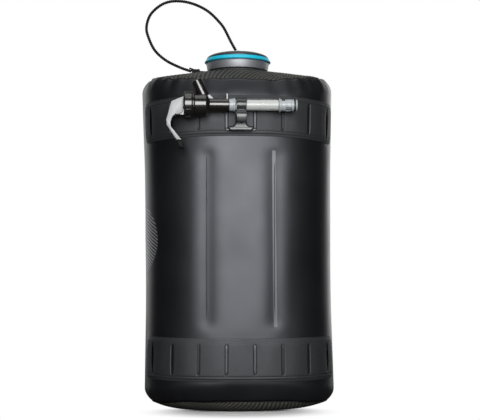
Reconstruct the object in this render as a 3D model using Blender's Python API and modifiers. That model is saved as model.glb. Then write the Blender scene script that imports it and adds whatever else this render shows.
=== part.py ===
"""A collapsible water carrier of about eight litres, standing full.

The origin is the middle of the foot, +Z up, with the tap at the front, which is -Y. Sizes are in metres.
"""

import math

import bmesh
import bpy
from mathutils import Matrix, Vector

# Clearances that the whole part shares
GAP = 0.0003  # between two pieces that touch
RUNNING_GAP = 0.0004  # between a piece and what it slides or turns in
OVERRUN = 0.002  # how far a cutter reaches past what it cuts

# The bag
HALF_WIDTH = 0.0985
HALF_DEPTH = 0.074
SECTION_POWER = 2.6  # 2 is an ellipse, and more is squarer
WAIST_IN = 0.0026  # how far the wall draws in half-way up
WALL = 0.0008
PANEL = 0.0012
TOP_SEAM_FRONT_Z = 0.3326
TOP_SEAM_RISE = 0.0070  # the seam is this much higher at the sides
BOTTOM_SEAM_FRONT_Z = 0.0120
BOTTOM_SEAM_DROP = 0.0040  # and this much lower there
CURL_IN = 0.0075  # the wall curls in by this at a seam
CURL_HEIGHT = 0.013
FOOT_HALF_WIDTH = 0.058
FOOT_HALF_DEPTH = 0.038
NECK_SEAT_Z = 0.3470
DOME_POWER = 1.35  # how the top rises from its seam: 1 is a straight slope
FOOT_POWER = 1.9
AROUND = 44  # facets round the bag

# The bands and their slits
BAND = 0.0010
BAND_STAND = 0.0004  # from the wall to a band's back
UPPER_BAND_Z = 0.2952
LOWER_BAND_Z = 0.0535
UPPER_BAND_HEIGHT = 0.0404
LOWER_BAND_HEIGHT = 0.0430
SLIT_PITCH = 0.0282
SLIT_WIDTH = 0.0022
SLIT_HEIGHT = 0.0297
SLITS = 8  # on the front or the back of a band
BAND_END = 0.0150  # from the last slit to a band's end
BAND_BEND = 0.0026  # a band's ends lie this much nearer the bag's middle height
END_ROUND = 0.0040

# The inner webs that keep the bag oblong
BAFFLE_X = 0.0337
BAFFLE = 0.0008
BAFFLE_LOW_Z = 0.0845
BAFFLE_HIGH_Z = 0.2620

# The neck and the cap
MOUTH_R = 0.0240
NECK_WALL = 0.0030
NECK_HEIGHT = 0.0135
FLANGE_R = 0.0340
FLANGE = 0.0013
TETHER_RING_R = 0.0318
TETHER_RING = 0.0012
SKIRT_WALL = 0.0036
SKIRT_TAPER = 0.0012
CAP_PLATE = 0.0012
GASKET = 0.0013
GRIP_RING_OUT = 0.0028  # how far the blue ring stands out of the shell
GRIP_RING_HEIGHT = 0.0047
GRIP_RING_LOW = 0.0078  # from the skirt's foot to the ring
COVER = 0.0014
COVER_RISE = 0.0056
COVER_FLAT_R = 0.0140
SWIVEL_R = 0.0062
SWIVEL = 0.0014
SWIVEL_BOSS_R = 0.0036
SWIVEL_BOSS_HEIGHT = 0.0036
CAP_FACETS = 32

# The tether, which stands up from the cap in a loop and comes down beside the neck
TETHER_R = 0.00145
FERRULE_R = 0.0025
FERRULE_LENGTH = 0.0085
LUG_WIDTH = 0.0075
TETHER_START_Y = 0.0010
TETHER_ROUTE = [
    (-0.0012, 0.0010, 0.3815),
    (-0.0048, 0.0010, 0.3885),
    (-0.0104, 0.0010, 0.3962),
    (-0.0180, 0.0012, 0.4040),
    (-0.0262, 0.0016, 0.4112),
    (-0.0380, 0.0020, 0.4186),
    (-0.0500, 0.0024, 0.4228),
    (-0.0622, 0.0026, 0.4240),
    (-0.0740, 0.0026, 0.4220),
    (-0.0836, 0.0022, 0.4164),
    (-0.0910, 0.0014, 0.4070),
    (-0.0944, 0.0004, 0.3966),
    (-0.0932, -0.0008, 0.3868),
    (-0.0884, -0.0020, 0.3760),
    (-0.0814, -0.0030, 0.3668),
    (-0.0718, -0.0036, 0.3592),
    (-0.0600, -0.0038, 0.3532),
    (-0.0530, -0.0038, 0.3504),
    (-0.0483, -0.0038, 0.3498),
]

# The hose and its clip
HOSE_R = 0.0053
HOSE_BORE_R = 0.0037
HOSE_FACETS = 16
CLIP = 0.0016
CLIP_BACK = 0.0046  # the moulded back leaf, which holds the tap clear of the bag
CLIP_HALF_LENGTH = 0.0055
CLIP_SLIDE_GAP = 0.0004
CURL_DROP = 0.0177  # from the hose's axis to the end of the front leaf
FOOT_TOP_DROP = 0.0202
FOOT_HEIGHT = 0.0038
FOOT_HALF_LENGTH = 0.0125
FOOT_HOOK = 0.0014
TAP_Z = 0.3036
HOSE_RIGHT_X = 0.0363
PARK_GAP = 0.0005  # between the plug's collar and the clip
BARB_R = 0.0034
BARB_CORE_R = 0.0030
BARBS = 4
BARB_LENGTH = 0.0140
WATERWAY_R = 0.0021

# The plug of the quick coupling
PLUG_COLLAR_R = 0.0065
PLUG_COLLAR = 0.0059
PLUG_R = 0.0038
PLUG_LENGTH = 0.0125
PLUG_GROOVE_R = 0.0031
PLUG_GROOVE = 0.0030
SEAL_GROOVE_R = 0.0026

# The end connector
FLANGE_END_R = 0.0069
FLANGE_END = 0.0017
WINDOW_BODY_R = 0.0058
WINDOW_BODY = 0.0130
WINDOW_WALL = 0.0016
WINDOW_INSET = 0.0022
END_NECK_R = 0.0042
END_RING_GROOVE = 0.0020
END_RING_WIRE_R = 0.0007
RING_WIRE_FACETS = 6
END_LIP_R = 0.0056
END_LIP = 0.0014

# The tap
SOCKET_R = 0.0064
SOCKET_LENGTH = 0.0198
SOCKET_BORE_R = 0.0042
BODY_R = 0.0110
BODY_LENGTH = 0.0139
BODY_ROUND = 0.0012
CHAMBER_R = 0.0072
CHAMBER_LENGTH = 0.0110
SPOUT_TILT = math.radians(25.4)
SPOUT_R = 0.0053
SPOUT_BORE_R = 0.0043
SPOUT_X_SHARE = 0.04  # where the spout's axis leaves the body's, from the body's right
SPOUT_BORE_START = 0.0085  # from the body's axis, so that the seat stays whole
SPOUT_LENGTH = 0.0263
GUSSET = 0.0014
GUSSET_REACH = 0.0052
COLLAR_R = 0.0129
COLLAR_LENGTH = 0.0100
COLLAR_WALL = 0.0030
COLLAR_NOTCHES = 14
COLLAR_NOTCH = 0.0009
STEM_R = 0.0019
STEM_FLANGE_R = 0.0046
STEM_FLANGE = 0.0010
SEAL_R = 0.0052
SEAL = 0.0018
SEAT_HOLE_R = 0.0032
SPRING_R = 0.0036
SPRING_WIRE_R = 0.0004
SPRING_TURNS = 3
STEM_TRAVEL = 0.0035

# The lever
LEVER_WIDTH = 0.0100
LEVER_SLOT = 0.0048
FORK_DEPTH = 0.0070  # how far left of the pin the fork for the ear reaches
POCKET_DEPTH = 0.0026  # from the lever's outer face to where the cross bar bears
POCKET_DROP = 0.0022
PIVOT_LEFT = 0.0027  # from the collar's face to the pin
PIVOT_DROP = 0.0071  # and from the tap's axis
PIN_R = 0.0010
PIN_GAP = 0.0002
EAR_HALF = 0.0020
PIN_INSET = 0.0010  # the pin ends this far inside the lever's cheeks
EAR_REACH = 0.0026
CROSS_R = 0.0013
CROSS_HALF = 0.0036
LEVER_DROP = 0.0272  # from the pivot down to the rubber tip, which the shares are of
LEVER_OUTLINE_SHARES = [
    (0.081, 0.048),
    (0.085, 0.540),
    (-0.037, 0.540),
    (-0.342, 0.364),
    (-0.500, -0.290),
    (-0.474, -0.467),
    (-0.099, -1.000),
    (0.070, -1.000),
    (-0.331, -0.529),
    (-0.346, -0.371),
    (-0.301, -0.195),
    (-0.202, -0.088),
    (-0.022, -0.085),
]
TIP_LENGTH = 0.0078
TIP_HALF_X = 0.0027

# The latch plate
LATCH = 0.0018
LATCH_SETBACK = 0.0008
LATCH_DISC_R = 0.0050
LATCH_TAB_HALF = 0.0030
LATCH_TRAVEL = 0.0012
LATCH_TAB_HEIGHT = 0.0139
LATCH_HOLE_R = 0.0043
LATCH_RAISE = 0.0007


def clear_scene():
    for old in list(bpy.data.objects):
        bpy.data.objects.remove(old, do_unlink=True)


def make_collection(name):
    collection = bpy.data.collections.new(name)
    bpy.context.scene.collection.children.link(collection)
    return collection


clear_scene()
PART = make_collection("water_carrier")
CUTTERS = make_collection("cutters")


def material(name, colour, roughness, metallic=0.0, alpha=1.0):
    made = bpy.data.materials.new(name)
    made.use_nodes = True
    shader = made.node_tree.nodes["Principled BSDF"]
    shader.inputs["Base Color"].default_value = (*colour, 1)
    shader.inputs["Roughness"].default_value = roughness
    shader.inputs["Metallic"].default_value = metallic
    shader.inputs["Alpha"].default_value = alpha
    return made


def add_object(name, data, finish=None, collection=PART):
    made = bpy.data.objects.new(name, data)
    collection.objects.link(made)
    if finish is not None:
        data.materials.append(material(name, *finish))
    return made


def smooth(obj):
    obj.data.shade_smooth()
    obj.data.set_sharp_from_angle(angle=math.radians(35))


def mesh_from(bm, name):
    mesh = bpy.data.meshes.new(name)
    bm.normal_update()
    bm.to_mesh(mesh)
    bm.free()
    return mesh


def hide_cutter(obj):
    obj.hide_render = True
    obj.display_type = "WIRE"
    return obj


def boolean(obj, other, operation="DIFFERENCE"):
    change = obj.modifiers.new(operation.lower(), "BOOLEAN")
    change.operation = operation
    change.solver = "EXACT"
    change.object = other
    return obj


def rod(name, radius, length, facets=24, collection=CUTTERS, finish=None):
    """A cylinder along +Z from the origin."""
    bm = bmesh.new()
    bmesh.ops.create_cone(
        bm, cap_ends=True, segments=facets, radius1=radius, radius2=radius, depth=length
    )
    bmesh.ops.translate(bm, verts=bm.verts, vec=(0, 0, length / 2))
    made = add_object(name, mesh_from(bm, name), finish, collection)
    return hide_cutter(made) if collection is CUTTERS else made


def block(name, low, high, collection=CUTTERS, finish=None):
    """A box between two corners."""
    bm = bmesh.new()
    size = [b - a for a, b in zip(low, high)]
    middle = [(a + b) / 2 for a, b in zip(low, high)]
    bmesh.ops.create_cube(bm, size=1)
    bmesh.ops.scale(bm, verts=bm.verts, vec=size)
    bmesh.ops.translate(bm, verts=bm.verts, vec=middle)
    made = add_object(name, mesh_from(bm, name), finish, collection)
    return hide_cutter(made) if collection is CUTTERS else made


def turned(name, profile, finish=None, facets=CAP_FACETS, closed=True, collection=PART):
    """A profile of (radius, height) points turned about Z, down its outer side and up its inner one."""
    mesh = bpy.data.meshes.new(name)
    count = len(profile)
    links = [(i, i + 1) for i in range(count - 1)] + ([(count - 1, 0)] if closed else [])
    mesh.from_pydata([(radius, 0, height) for radius, height in profile], links, [])
    made = add_object(name, mesh, finish, collection)
    screw = made.modifiers.new("turn", "SCREW")
    screw.steps = facets
    screw.render_steps = facets
    screw.use_merge_vertices = True
    screw.merge_threshold = GAP / 30
    screw.use_smooth_shade = False
    return hide_cutter(made) if collection is CUTTERS else made


def extruded(name, outline, half_thickness, finish=None, collection=PART):
    """A flat outline in XY, as a mesh that is twice half_thickness deep along Z."""
    curve = bpy.data.curves.new(name, "CURVE")
    curve.dimensions = "2D"
    curve.fill_mode = "BOTH"
    curve.extrude = half_thickness
    spline = curve.splines.new("POLY")
    spline.points.add(len(outline) - 1)
    for point, (x, y) in zip(spline.points, outline):
        point.co = (x, y, 0, 1)
    spline.use_cyclic_u = True
    drawn = bpy.data.objects.new(name + "_drawn", curve)
    PART.objects.link(drawn)
    graph = bpy.context.evaluated_depsgraph_get()
    graph.update()
    mesh = bpy.data.meshes.new_from_object(drawn.evaluated_get(graph))
    bpy.data.objects.remove(drawn, do_unlink=True)
    bm = bmesh.new()
    bm.from_mesh(mesh)
    bpy.data.meshes.remove(mesh)
    bmesh.ops.remove_doubles(bm, verts=bm.verts, dist=GAP / 30)
    bmesh.ops.recalc_face_normals(bm, faces=bm.faces)
    made = add_object(name, mesh_from(bm, name), finish, collection)
    return hide_cutter(made) if collection is CUTTERS else made


def tube(name, points, radius, finish, bevel_resolution=2):
    curve = bpy.data.curves.new(name, "CURVE")
    curve.dimensions = "3D"
    curve.bevel_depth = radius
    curve.bevel_resolution = bevel_resolution
    curve.use_fill_caps = True
    spline = curve.splines.new("POLY")
    spline.points.add(len(points) - 1)
    for point, place in zip(spline.points, points):
        point.co = (*place, 1)
    return add_object(name, curve, finish)


def smooth_route(points, steps):
    """Points on a smooth curve through the given ones, steps to each stretch."""
    nodes = [Vector(p) for p in points]
    nodes = [2 * nodes[0] - nodes[1], *nodes, 2 * nodes[-1] - nodes[-2]]
    made = []
    for i in range(1, len(nodes) - 2):
        a, b, c, d = nodes[i - 1 : i + 3]
        for k in range(steps):
            t = k / steps
            made.append(
                0.5
                * (
                    2 * b
                    + (c - a) * t
                    + (2 * a - 5 * b + 4 * c - d) * t**2
                    + (3 * b - 3 * c + d - a) * t**3
                )
            )
    return [*made, nodes[-2]]


def loft(name, loops, finish, capped):
    """A body through loops of points, in order. It is closed on itself, or capped at both ends."""
    bm = bmesh.new()
    rows = [[bm.verts.new(p) for p in loop] for loop in loops]
    count = len(rows[0])
    pairs = list(zip(rows, rows[1:])) + ([] if capped else [(rows[-1], rows[0])])
    for low, high in pairs:
        for i in range(count):
            j = (i + 1) % count
            bm.faces.new((low[i], low[j], high[j], high[i]))
    if capped:
        for row in (rows[0], rows[-1]):
            middle = sum((v.co for v in row), Vector()) / count
            centre = bm.verts.new(middle)
            for i in range(count):
                bm.faces.new((row[i], row[(i + 1) % count], centre))
    bmesh.ops.recalc_face_normals(bm, faces=bm.faces)
    made = add_object(name, mesh_from(bm, name), finish)
    smooth(made)
    return made


# Finishes: colour, roughness, metallic, alpha
FILM = ((0.030, 0.031, 0.034), 0.42)
RIBBED = ((0.050, 0.051, 0.047), 0.55)
BAND_FILM = ((0.034, 0.035, 0.038), 0.45)
BLACK = ((0.012, 0.012, 0.013), 0.35)
DARK_METAL = ((0.060, 0.062, 0.066), 0.35, 0.6)
GREY_METAL = ((0.200, 0.205, 0.215), 0.35, 0.6)
BLUE = ((0.010, 0.430, 0.780), 0.40)
RUBBER = ((0.020, 0.020, 0.020), 0.80)
LIGHT_GREY = ((0.450, 0.455, 0.450), 0.45)
PALE_HOSE = ((0.700, 0.720, 0.710), 0.30, 0.0, 0.5)
CLIP_GREY = ((0.050, 0.052, 0.056), 0.45)
STEEL = ((0.600, 0.600, 0.600), 0.25, 1.0)


def side_share(angle):
    """How far round to the sides a place is: 0 at the front and the back, 1 at the sides."""
    return math.cos(angle) ** 2


def top_seam_z(angle):
    return TOP_SEAM_FRONT_Z + TOP_SEAM_RISE * side_share(angle)


def bottom_seam_z(angle):
    return BOTTOM_SEAM_FRONT_Z - BOTTOM_SEAM_DROP * side_share(angle)


def wall_inset(angle, z):
    """How far the wall lies inside the bag's widest outline at a height."""
    low = bottom_seam_z(angle)
    high = top_seam_z(angle)
    waist = WAIST_IN * math.sin(math.pi * min(max((z - low) / (high - low), 0), 1))
    near = min(z - low, high - z)
    return waist + CURL_IN * max(0, 1 - near / CURL_HEIGHT) ** 2


def outline_point(angle, inset):
    """A point of the bag's oblong section, drawn in by inset."""
    c = math.cos(angle)
    s = math.sin(angle)
    power = 2 / SECTION_POWER
    x = math.copysign(abs(c) ** power, c) * (HALF_WIDTH - inset)
    y = math.copysign(abs(s) ** power, s) * (HALF_DEPTH - inset)
    return x, y


def wall_point(angle, z, inward=0.0):
    x, y = outline_point(angle, wall_inset(angle, z) + inward)
    return (x, y, z)


def even_angles():
    """Angles that lie evenly along the oblong section, starting at +X and going round by +Y."""
    fine = AROUND * 20
    places = [outline_point(math.tau * i / fine, 0) for i in range(fine + 1)]
    run = [0.0]
    for a, b in zip(places, places[1:]):
        run.append(run[-1] + math.dist(a, b))
    angles = []
    k = 0
    for i in range(AROUND):
        target = run[-1] * i / AROUND
        while run[k + 1] < target:
            k += 1
        share = (target - run[k]) / (run[k + 1] - run[k])
        angles.append(math.tau * (k + share) / fine)
    return angles


ANGLES = even_angles()


def make_side_wall():
    """The film wall, one tube from the bottom seam to the top seam."""
    shares = (0, 0.012, 0.026, 0.042, 0.34, 0.64, 0.958, 0.974, 0.988, 1)

    def loop(share, inward):
        made = []
        for angle in ANGLES:
            low = bottom_seam_z(angle) + GAP / 2
            high = top_seam_z(angle) - GAP / 2
            made.append(wall_point(angle, low + (high - low) * share, inward))
        return made

    outer = [loop(share, 0) for share in shares]
    inner = [loop(share, WALL) for share in reversed(shares)]
    return loft("side_wall", outer + inner, FILM, capped=False)


def panel_ring(angle, share, seam_z, end, end_z, power, drop=0.0, inward=0.0):
    """A point of a panel, share of the way from its seam to its middle part."""
    x, y = outline_point(angle, CURL_IN + inward)
    z = seam_z + (end_z - seam_z) * (1 - (1 - share) ** power)
    return (x + (end[0] - x) * share, y + (end[1] - y) * share, z + drop)


def make_top_panel():
    """The ribbed top, from the seam up to the neck's seat, with the neck's hole."""
    shares = (0, 0.12, 0.28, 0.5, 0.75, 1)

    def loop(share, drop, inward):
        made = []
        for angle in ANGLES:
            x, y = outline_point(angle, 0)
            turn = math.atan2(y, x)
            end = (FLANGE_R * math.cos(turn), FLANGE_R * math.sin(turn))
            seam = top_seam_z(angle) + GAP / 2
            under = min(1, share / shares[1]) * drop
            made.append(
                panel_ring(angle, share, seam, end, NECK_SEAT_Z, DOME_POWER, under, inward)
            )
        return made

    def hole(z):
        made = []
        for angle in ANGLES:
            x, y = outline_point(angle, 0)
            turn = math.atan2(y, x)
            r = MOUTH_R
            made.append((r * math.cos(turn), r * math.sin(turn), z))
        return made

    outer = [loop(share, 0, 0) for share in shares] + [hole(NECK_SEAT_Z)]
    inner = [hole(NECK_SEAT_Z - PANEL)]
    inner += [loop(share, -PANEL, WALL * (1 - share)) for share in reversed(shares)]
    return loft("top_panel", outer + inner, RIBBED, capped=False)


def make_bottom_panel():
    """The ribbed bottom, from the seam down to a flat foot."""
    shares = (0, 0.12, 0.3, 0.6, 1)

    def loop(share, raise_by, inward):
        made = []
        for angle in ANGLES:
            c, s = math.cos(angle), math.sin(angle)
            end = (FOOT_HALF_WIDTH * c, FOOT_HALF_DEPTH * s)
            seam = bottom_seam_z(angle) - GAP / 2
            over = min(1, share / shares[1]) * raise_by
            made.append(panel_ring(angle, share, seam, end, 0, FOOT_POWER, over, inward))
        return made

    outer = [loop(share, 0, 0) for share in reversed(shares)]
    inner = [loop(share, PANEL, WALL * (1 - share)) for share in shares]
    return loft("bottom_panel", outer + inner, RIBBED, capped=True)


def arc_table(z, outward):
    """(distance along the front from its middle, angle) pairs on the wall at a height."""
    fine = 720
    table = []
    run = 0.0
    last = None
    for i in range(fine // 4 + 1):
        angle = -math.pi / 2 + math.tau * i / fine
        place = wall_point(angle, z, -outward)
        if last is not None:
            run += math.dist(last, place)
        table.append((run, angle))
        last = place
    return table


def angle_at(table, distance):
    for (run, angle), (next_run, next_angle) in zip(table, table[1:]):
        if next_run >= abs(distance):
            share = (abs(distance) - run) / (next_run - run)
            found = angle + (next_angle - angle) * share
            return found if distance >= 0 else -math.pi - found
    return table[-1][1]


def band_columns():
    """Distances of a band's columns of points from its middle, with each slit's two edges."""
    edges = []
    first = -SLIT_PITCH * (SLITS - 1) / 2
    for i in range(SLITS):
        middle = first + SLIT_PITCH * i
        edges += [middle - SLIT_WIDTH / 2, middle + SLIT_WIDTH / 2]
    half_way = (BAND_END - END_ROUND) / 2
    columns = [edges[0] - BAND_END, edges[0] - BAND_END + END_ROUND, edges[0] - half_way, edges[0]]
    for i in range(1, len(edges)):
        if i % 2 == 0:
            span = edges[i] - edges[i - 1]
            columns += [edges[i - 1] + span / 3, edges[i - 1] + span * 2 / 3]
        columns.append(edges[i])
    columns += [edges[-1] + half_way, edges[-1] + BAND_END - END_ROUND, edges[-1] + BAND_END]
    return columns, edges


def make_band(name, middle_z, height, side):
    """A slit band on the front (side 1) or on the back (side -1), curved over the wall."""
    columns, edges = band_columns()
    heights = [-height / 2, -SLIT_HEIGHT / 2, SLIT_HEIGHT / 2, height / 2]
    bend = math.copysign(BAND_BEND, (TOP_SEAM_FRONT_Z + BOTTOM_SEAM_FRONT_Z) / 2 - middle_z)
    bm = bmesh.new()
    layers = []
    for outward in (BAND_STAND, BAND_STAND + BAND):
        table = arc_table(middle_z, outward)
        grid = []
        for k, distance in enumerate(columns):
            angle = side * angle_at(table, distance)
            at_end = k in (0, len(columns) - 1)
            column = []
            for z in heights:
                z = math.copysign(min(abs(z), height / 2 - (END_ROUND if at_end else 0)), z)
                z += middle_z + bend * side_share(angle)
                column.append(bm.verts.new(wall_point(angle, z, -outward)))
            grid.append(column)
        layers.append(grid)
    slit_starts = set(edges[::2])
    kept = {}
    for i in range(len(columns) - 1):
        for j in range(len(heights) - 1):
            in_slit = columns[i] in slit_starts and 0 < j < len(heights) - 2
            kept[i, j] = not in_slit
    for (i, j), keep in kept.items():
        if not keep:
            continue
        for grid in layers:
            bm.faces.new((grid[i][j], grid[i + 1][j], grid[i + 1][j + 1], grid[i][j + 1]))
        inner, outer = layers
        borders = (
            ((i, j - 1), (i, j), (i + 1, j)),
            ((i, j + 1), (i, j + 1), (i + 1, j + 1)),
            ((i - 1, j), (i, j), (i, j + 1)),
            ((i + 1, j), (i + 1, j), (i + 1, j + 1)),
        )
        for other, a, b in borders:
            if not kept.get(other, False):
                bm.faces.new(
                    (inner[a[0]][a[1]], inner[b[0]][b[1]], outer[b[0]][b[1]], outer[a[0]][a[1]])
                )
    bmesh.ops.recalc_face_normals(bm, faces=bm.faces)
    made = add_object(name, mesh_from(bm, name), BAND_FILM)
    smooth(made)
    return made


def make_baffle(name, x):
    """A web from the front wall to the back wall, welded along both."""
    rows = 6
    bm = bmesh.new()
    loops = []
    for k in range(rows + 1):
        z = BAFFLE_LOW_Z + (BAFFLE_HIGH_Z - BAFFLE_LOW_Z) * k / rows
        inset = wall_inset(-math.pi / 2, z) + WALL + RUNNING_GAP
        share = (x + math.copysign(BAFFLE / 2, x)) / (HALF_WIDTH - inset)
        y = (1 - abs(share) ** SECTION_POWER) ** (1 / SECTION_POWER) * (HALF_DEPTH - inset)
        corners = [(-1, -1), (1, -1), (1, 1), (-1, 1)]
        loops.append(
            [bm.verts.new((x + a * BAFFLE / 2, b * y, z)) for a, b in corners]
        )
    for low, high in zip(loops, loops[1:]):
        for i in range(4):
            j = (i + 1) % 4
            bm.faces.new((low[i], low[j], high[j], high[i]))
    bm.faces.new(loops[0])
    bm.faces.new(loops[-1])
    bmesh.ops.recalc_face_normals(bm, faces=bm.faces)
    return add_object(name, mesh_from(bm, name), FILM)


# Heights and radii of the neck and the cap, worked out from the seat up
FLANGE_LOW = NECK_SEAT_Z + GAP
FLANGE_TOP = FLANGE_LOW + FLANGE
NECK_R = MOUTH_R + NECK_WALL
NECK_TOP = FLANGE_LOW + NECK_HEIGHT
RING_LOW = FLANGE_TOP + GAP
RING_TOP = RING_LOW + TETHER_RING
SKIRT_LOW = RING_TOP + GAP
SKIRT_BORE_R = NECK_R + 2 * RUNNING_GAP
SHELL_R = SKIRT_BORE_R + SKIRT_WALL
PLATE_LOW = NECK_TOP + GASKET + 2 * GAP
PLATE_TOP = PLATE_LOW + CAP_PLATE
GRIP_LOW = SKIRT_LOW + GRIP_RING_LOW
GRIP_TOP = GRIP_LOW + GRIP_RING_HEIGHT
GRIP_R = SHELL_R + GAP + GRIP_RING_OUT
COVER_R = GRIP_R - SKIRT_TAPER
COVER_LOW = GRIP_TOP + GAP
COVER_TOP = PLATE_TOP + GAP + COVER_RISE
SWIVEL_LOW = COVER_TOP + GAP
SWIVEL_TOP = SWIVEL_LOW + SWIVEL
BOSS_TOP = SWIVEL_TOP + SWIVEL_BOSS_HEIGHT


def make_neck():
    profile = [
        (NECK_R, NECK_TOP),
        (NECK_R, FLANGE_TOP),
        (FLANGE_R, FLANGE_TOP),
        (FLANGE_R, FLANGE_LOW),
        (MOUTH_R, FLANGE_LOW),
        (MOUTH_R, NECK_TOP),
    ]
    return turned("neck", profile, BLACK)


def make_cap_shell():
    profile = [
        (0, PLATE_TOP),
        (SHELL_R, PLATE_TOP),
        (SHELL_R, GRIP_LOW - GAP),
        (SHELL_R + SKIRT_TAPER, GRIP_LOW - GAP),
        (SHELL_R, SKIRT_LOW),
        (SKIRT_BORE_R, SKIRT_LOW),
        (SKIRT_BORE_R, PLATE_LOW),
        (0, PLATE_LOW),
    ]
    return turned("cap_shell", profile, GREY_METAL, closed=False)


def make_cap_ring():
    bore = SHELL_R + GAP
    round_by = GRIP_RING_OUT / 4
    profile = [
        (bore, GRIP_TOP),
        (GRIP_R - round_by, GRIP_TOP),
        (GRIP_R, GRIP_TOP - round_by),
        (GRIP_R, GRIP_LOW + round_by),
        (GRIP_R - round_by, GRIP_LOW),
        (bore, GRIP_LOW),
    ]
    return turned("cap_ring", profile, BLUE)


def make_cap_cover():
    """The dark dome over the shell, flat in its middle."""
    low_inside = max(PLATE_TOP + GAP, COVER_LOW)
    inner_r = COVER_R - COVER

    def dome(edge_r, edge_z, top_z, steps):
        made = []
        for i in range(steps + 1):
            turn = math.pi / 2 * i / steps
            r = COVER_FLAT_R + (edge_r - COVER_FLAT_R) * math.cos(turn)
            made.append((r, edge_z + (top_z - edge_z) * math.sin(turn)))
        return made

    outer = dome(COVER_R, COVER_LOW + COVER, COVER_TOP, 4)
    inner = dome(inner_r, low_inside, COVER_TOP - COVER, 4)
    profile = [(0, COVER_TOP)] + outer[::-1] + [(COVER_R, COVER_LOW), (inner_r, COVER_LOW)]
    if low_inside > COVER_LOW:
        profile += [inner[0]]
    profile += inner[1:] + [(0, COVER_TOP - COVER)]
    return turned("cap_cover", profile, DARK_METAL, closed=False)


def make_cap_gasket():
    low = NECK_TOP + GAP
    outer = NECK_R + RUNNING_GAP
    profile = [(outer, low + GASKET), (outer, low), (MOUTH_R, low), (MOUTH_R, low + GASKET)]
    return turned("cap_gasket", profile, RUBBER)


def make_tether_swivel():
    """A turning button on the cap, with the boss that the tether's end is set in."""
    profile = [
        (0, BOSS_TOP),
        (SWIVEL_BOSS_R, BOSS_TOP),
        (SWIVEL_BOSS_R, SWIVEL_TOP),
        (SWIVEL_R, SWIVEL_TOP),
        (SWIVEL_R, SWIVEL_LOW),
        (0, SWIVEL_LOW),
    ]
    return turned("tether_swivel", profile, BLACK, facets=24, closed=False)


def make_tether():
    start = (0, TETHER_START_Y, BOSS_TOP + GAP)
    return tube("tether", smooth_route([start, *TETHER_ROUTE], 2), TETHER_R, RUBBER)


def make_tether_ring():
    """The ring round the neck, under the cap, with a lug on its left for the ferrule."""
    bore = NECK_R + RUNNING_GAP
    profile = [
        (TETHER_RING_R, RING_TOP),
        (TETHER_RING_R, RING_LOW),
        (bore, RING_LOW),
        (bore, RING_TOP),
    ]
    ring = turned("tether_ring", profile, BLACK)
    y = TETHER_ROUTE[-1][1]
    left = TETHER_ROUTE[-1][0] + FERRULE_LENGTH + 2 * GAP
    low = (left, y - LUG_WIDTH / 2, RING_LOW)
    high = (-(bore + TETHER_RING_R) / 2, y + LUG_WIDTH / 2, RING_TOP)
    return boolean(ring, block("lug", low, high), "UNION")


def make_tether_ferrule():
    """The ferrule on the tether's lower end. It lies on the top panel, against the ring's lug."""
    x, y, _ = TETHER_ROUTE[-1]
    z = NECK_SEAT_Z + GAP + FERRULE_R
    profile = [(0, FERRULE_LENGTH), (FERRULE_R, FERRULE_LENGTH), (FERRULE_R, 0), (0, 0)]
    made = turned("tether_ferrule", profile, BLACK, facets=16, closed=False)
    made.rotation_euler = (0, math.pi / 2, 0)
    made.location = (x + GAP, y, z)
    return made


# Places along the tap's axis, worked out from the hose's right end and the clip
BAND_FRONT_Y = wall_point(-math.pi / 2, UPPER_BAND_Z)[1]
CLIP_BACK_Y = BAND_FRONT_Y - BAND_STAND - BAND - GAP
TAP_Y = CLIP_BACK_Y - CLIP_BACK - CLIP_SLIDE_GAP - HOSE_R
PLUG_COLLAR_RIGHT_X = -CLIP_HALF_LENGTH - PARK_GAP
PLUG_COLLAR_LEFT_X = PLUG_COLLAR_RIGHT_X - PLUG_COLLAR
HOSE_LEFT_X = PLUG_COLLAR_RIGHT_X + GAP
SOCKET_RIGHT_X = PLUG_COLLAR_LEFT_X - GAP
BODY_RIGHT_X = SOCKET_RIGHT_X - SOCKET_LENGTH
BODY_LEFT_X = BODY_RIGHT_X - BODY_LENGTH
COLLAR_RIGHT_X = BODY_LEFT_X - GAP
COLLAR_LEFT_X = COLLAR_RIGHT_X - COLLAR_LENGTH
SEAT_X = BODY_LEFT_X + CHAMBER_LENGTH
PIVOT_X = COLLAR_LEFT_X - PIVOT_LEFT
PIVOT_Z = TAP_Z - PIVOT_DROP
LATCH_RIGHT_X = SOCKET_RIGHT_X - LATCH_SETBACK
LATCH_LEFT_X = LATCH_RIGHT_X - LATCH
LATCH_FROM_COLLAR = PLUG_COLLAR_LEFT_X - (LATCH_LEFT_X + LATCH_RIGHT_X) / 2
PLUG_RING_WIRE_R = (SOCKET_BORE_R - SEAL_GROOVE_R - 2 * GAP) / 2


def along_x(obj, x):
    """Lays a piece that was turned about Z along +X, starting at x on the tap's axis."""
    obj.rotation_euler = (0, math.pi / 2, 0)
    obj.location = (x, TAP_Y, TAP_Z)
    return obj


def barb_profile(start, end, inward_end):
    """Radius and place along a barbed tail, from its root to its tip."""
    made = [(BARB_CORE_R, start)]
    step = (end - start) / BARBS
    for i in range(BARBS):
        ridge = start + step * (i + 0.25)
        made += [(BARB_R, ridge), (BARB_CORE_R, ridge + step * 0.75)]
    made[-1] = (BARB_CORE_R, end)
    return made + [(inward_end, end)]


def make_hose():
    length = HOSE_RIGHT_X - HOSE_LEFT_X
    profile = [(HOSE_R, length), (HOSE_R, 0), (HOSE_BORE_R, 0), (HOSE_BORE_R, length)]
    return along_x(turned("hose", profile, PALE_HOSE, facets=HOSE_FACETS), HOSE_LEFT_X)


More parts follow.
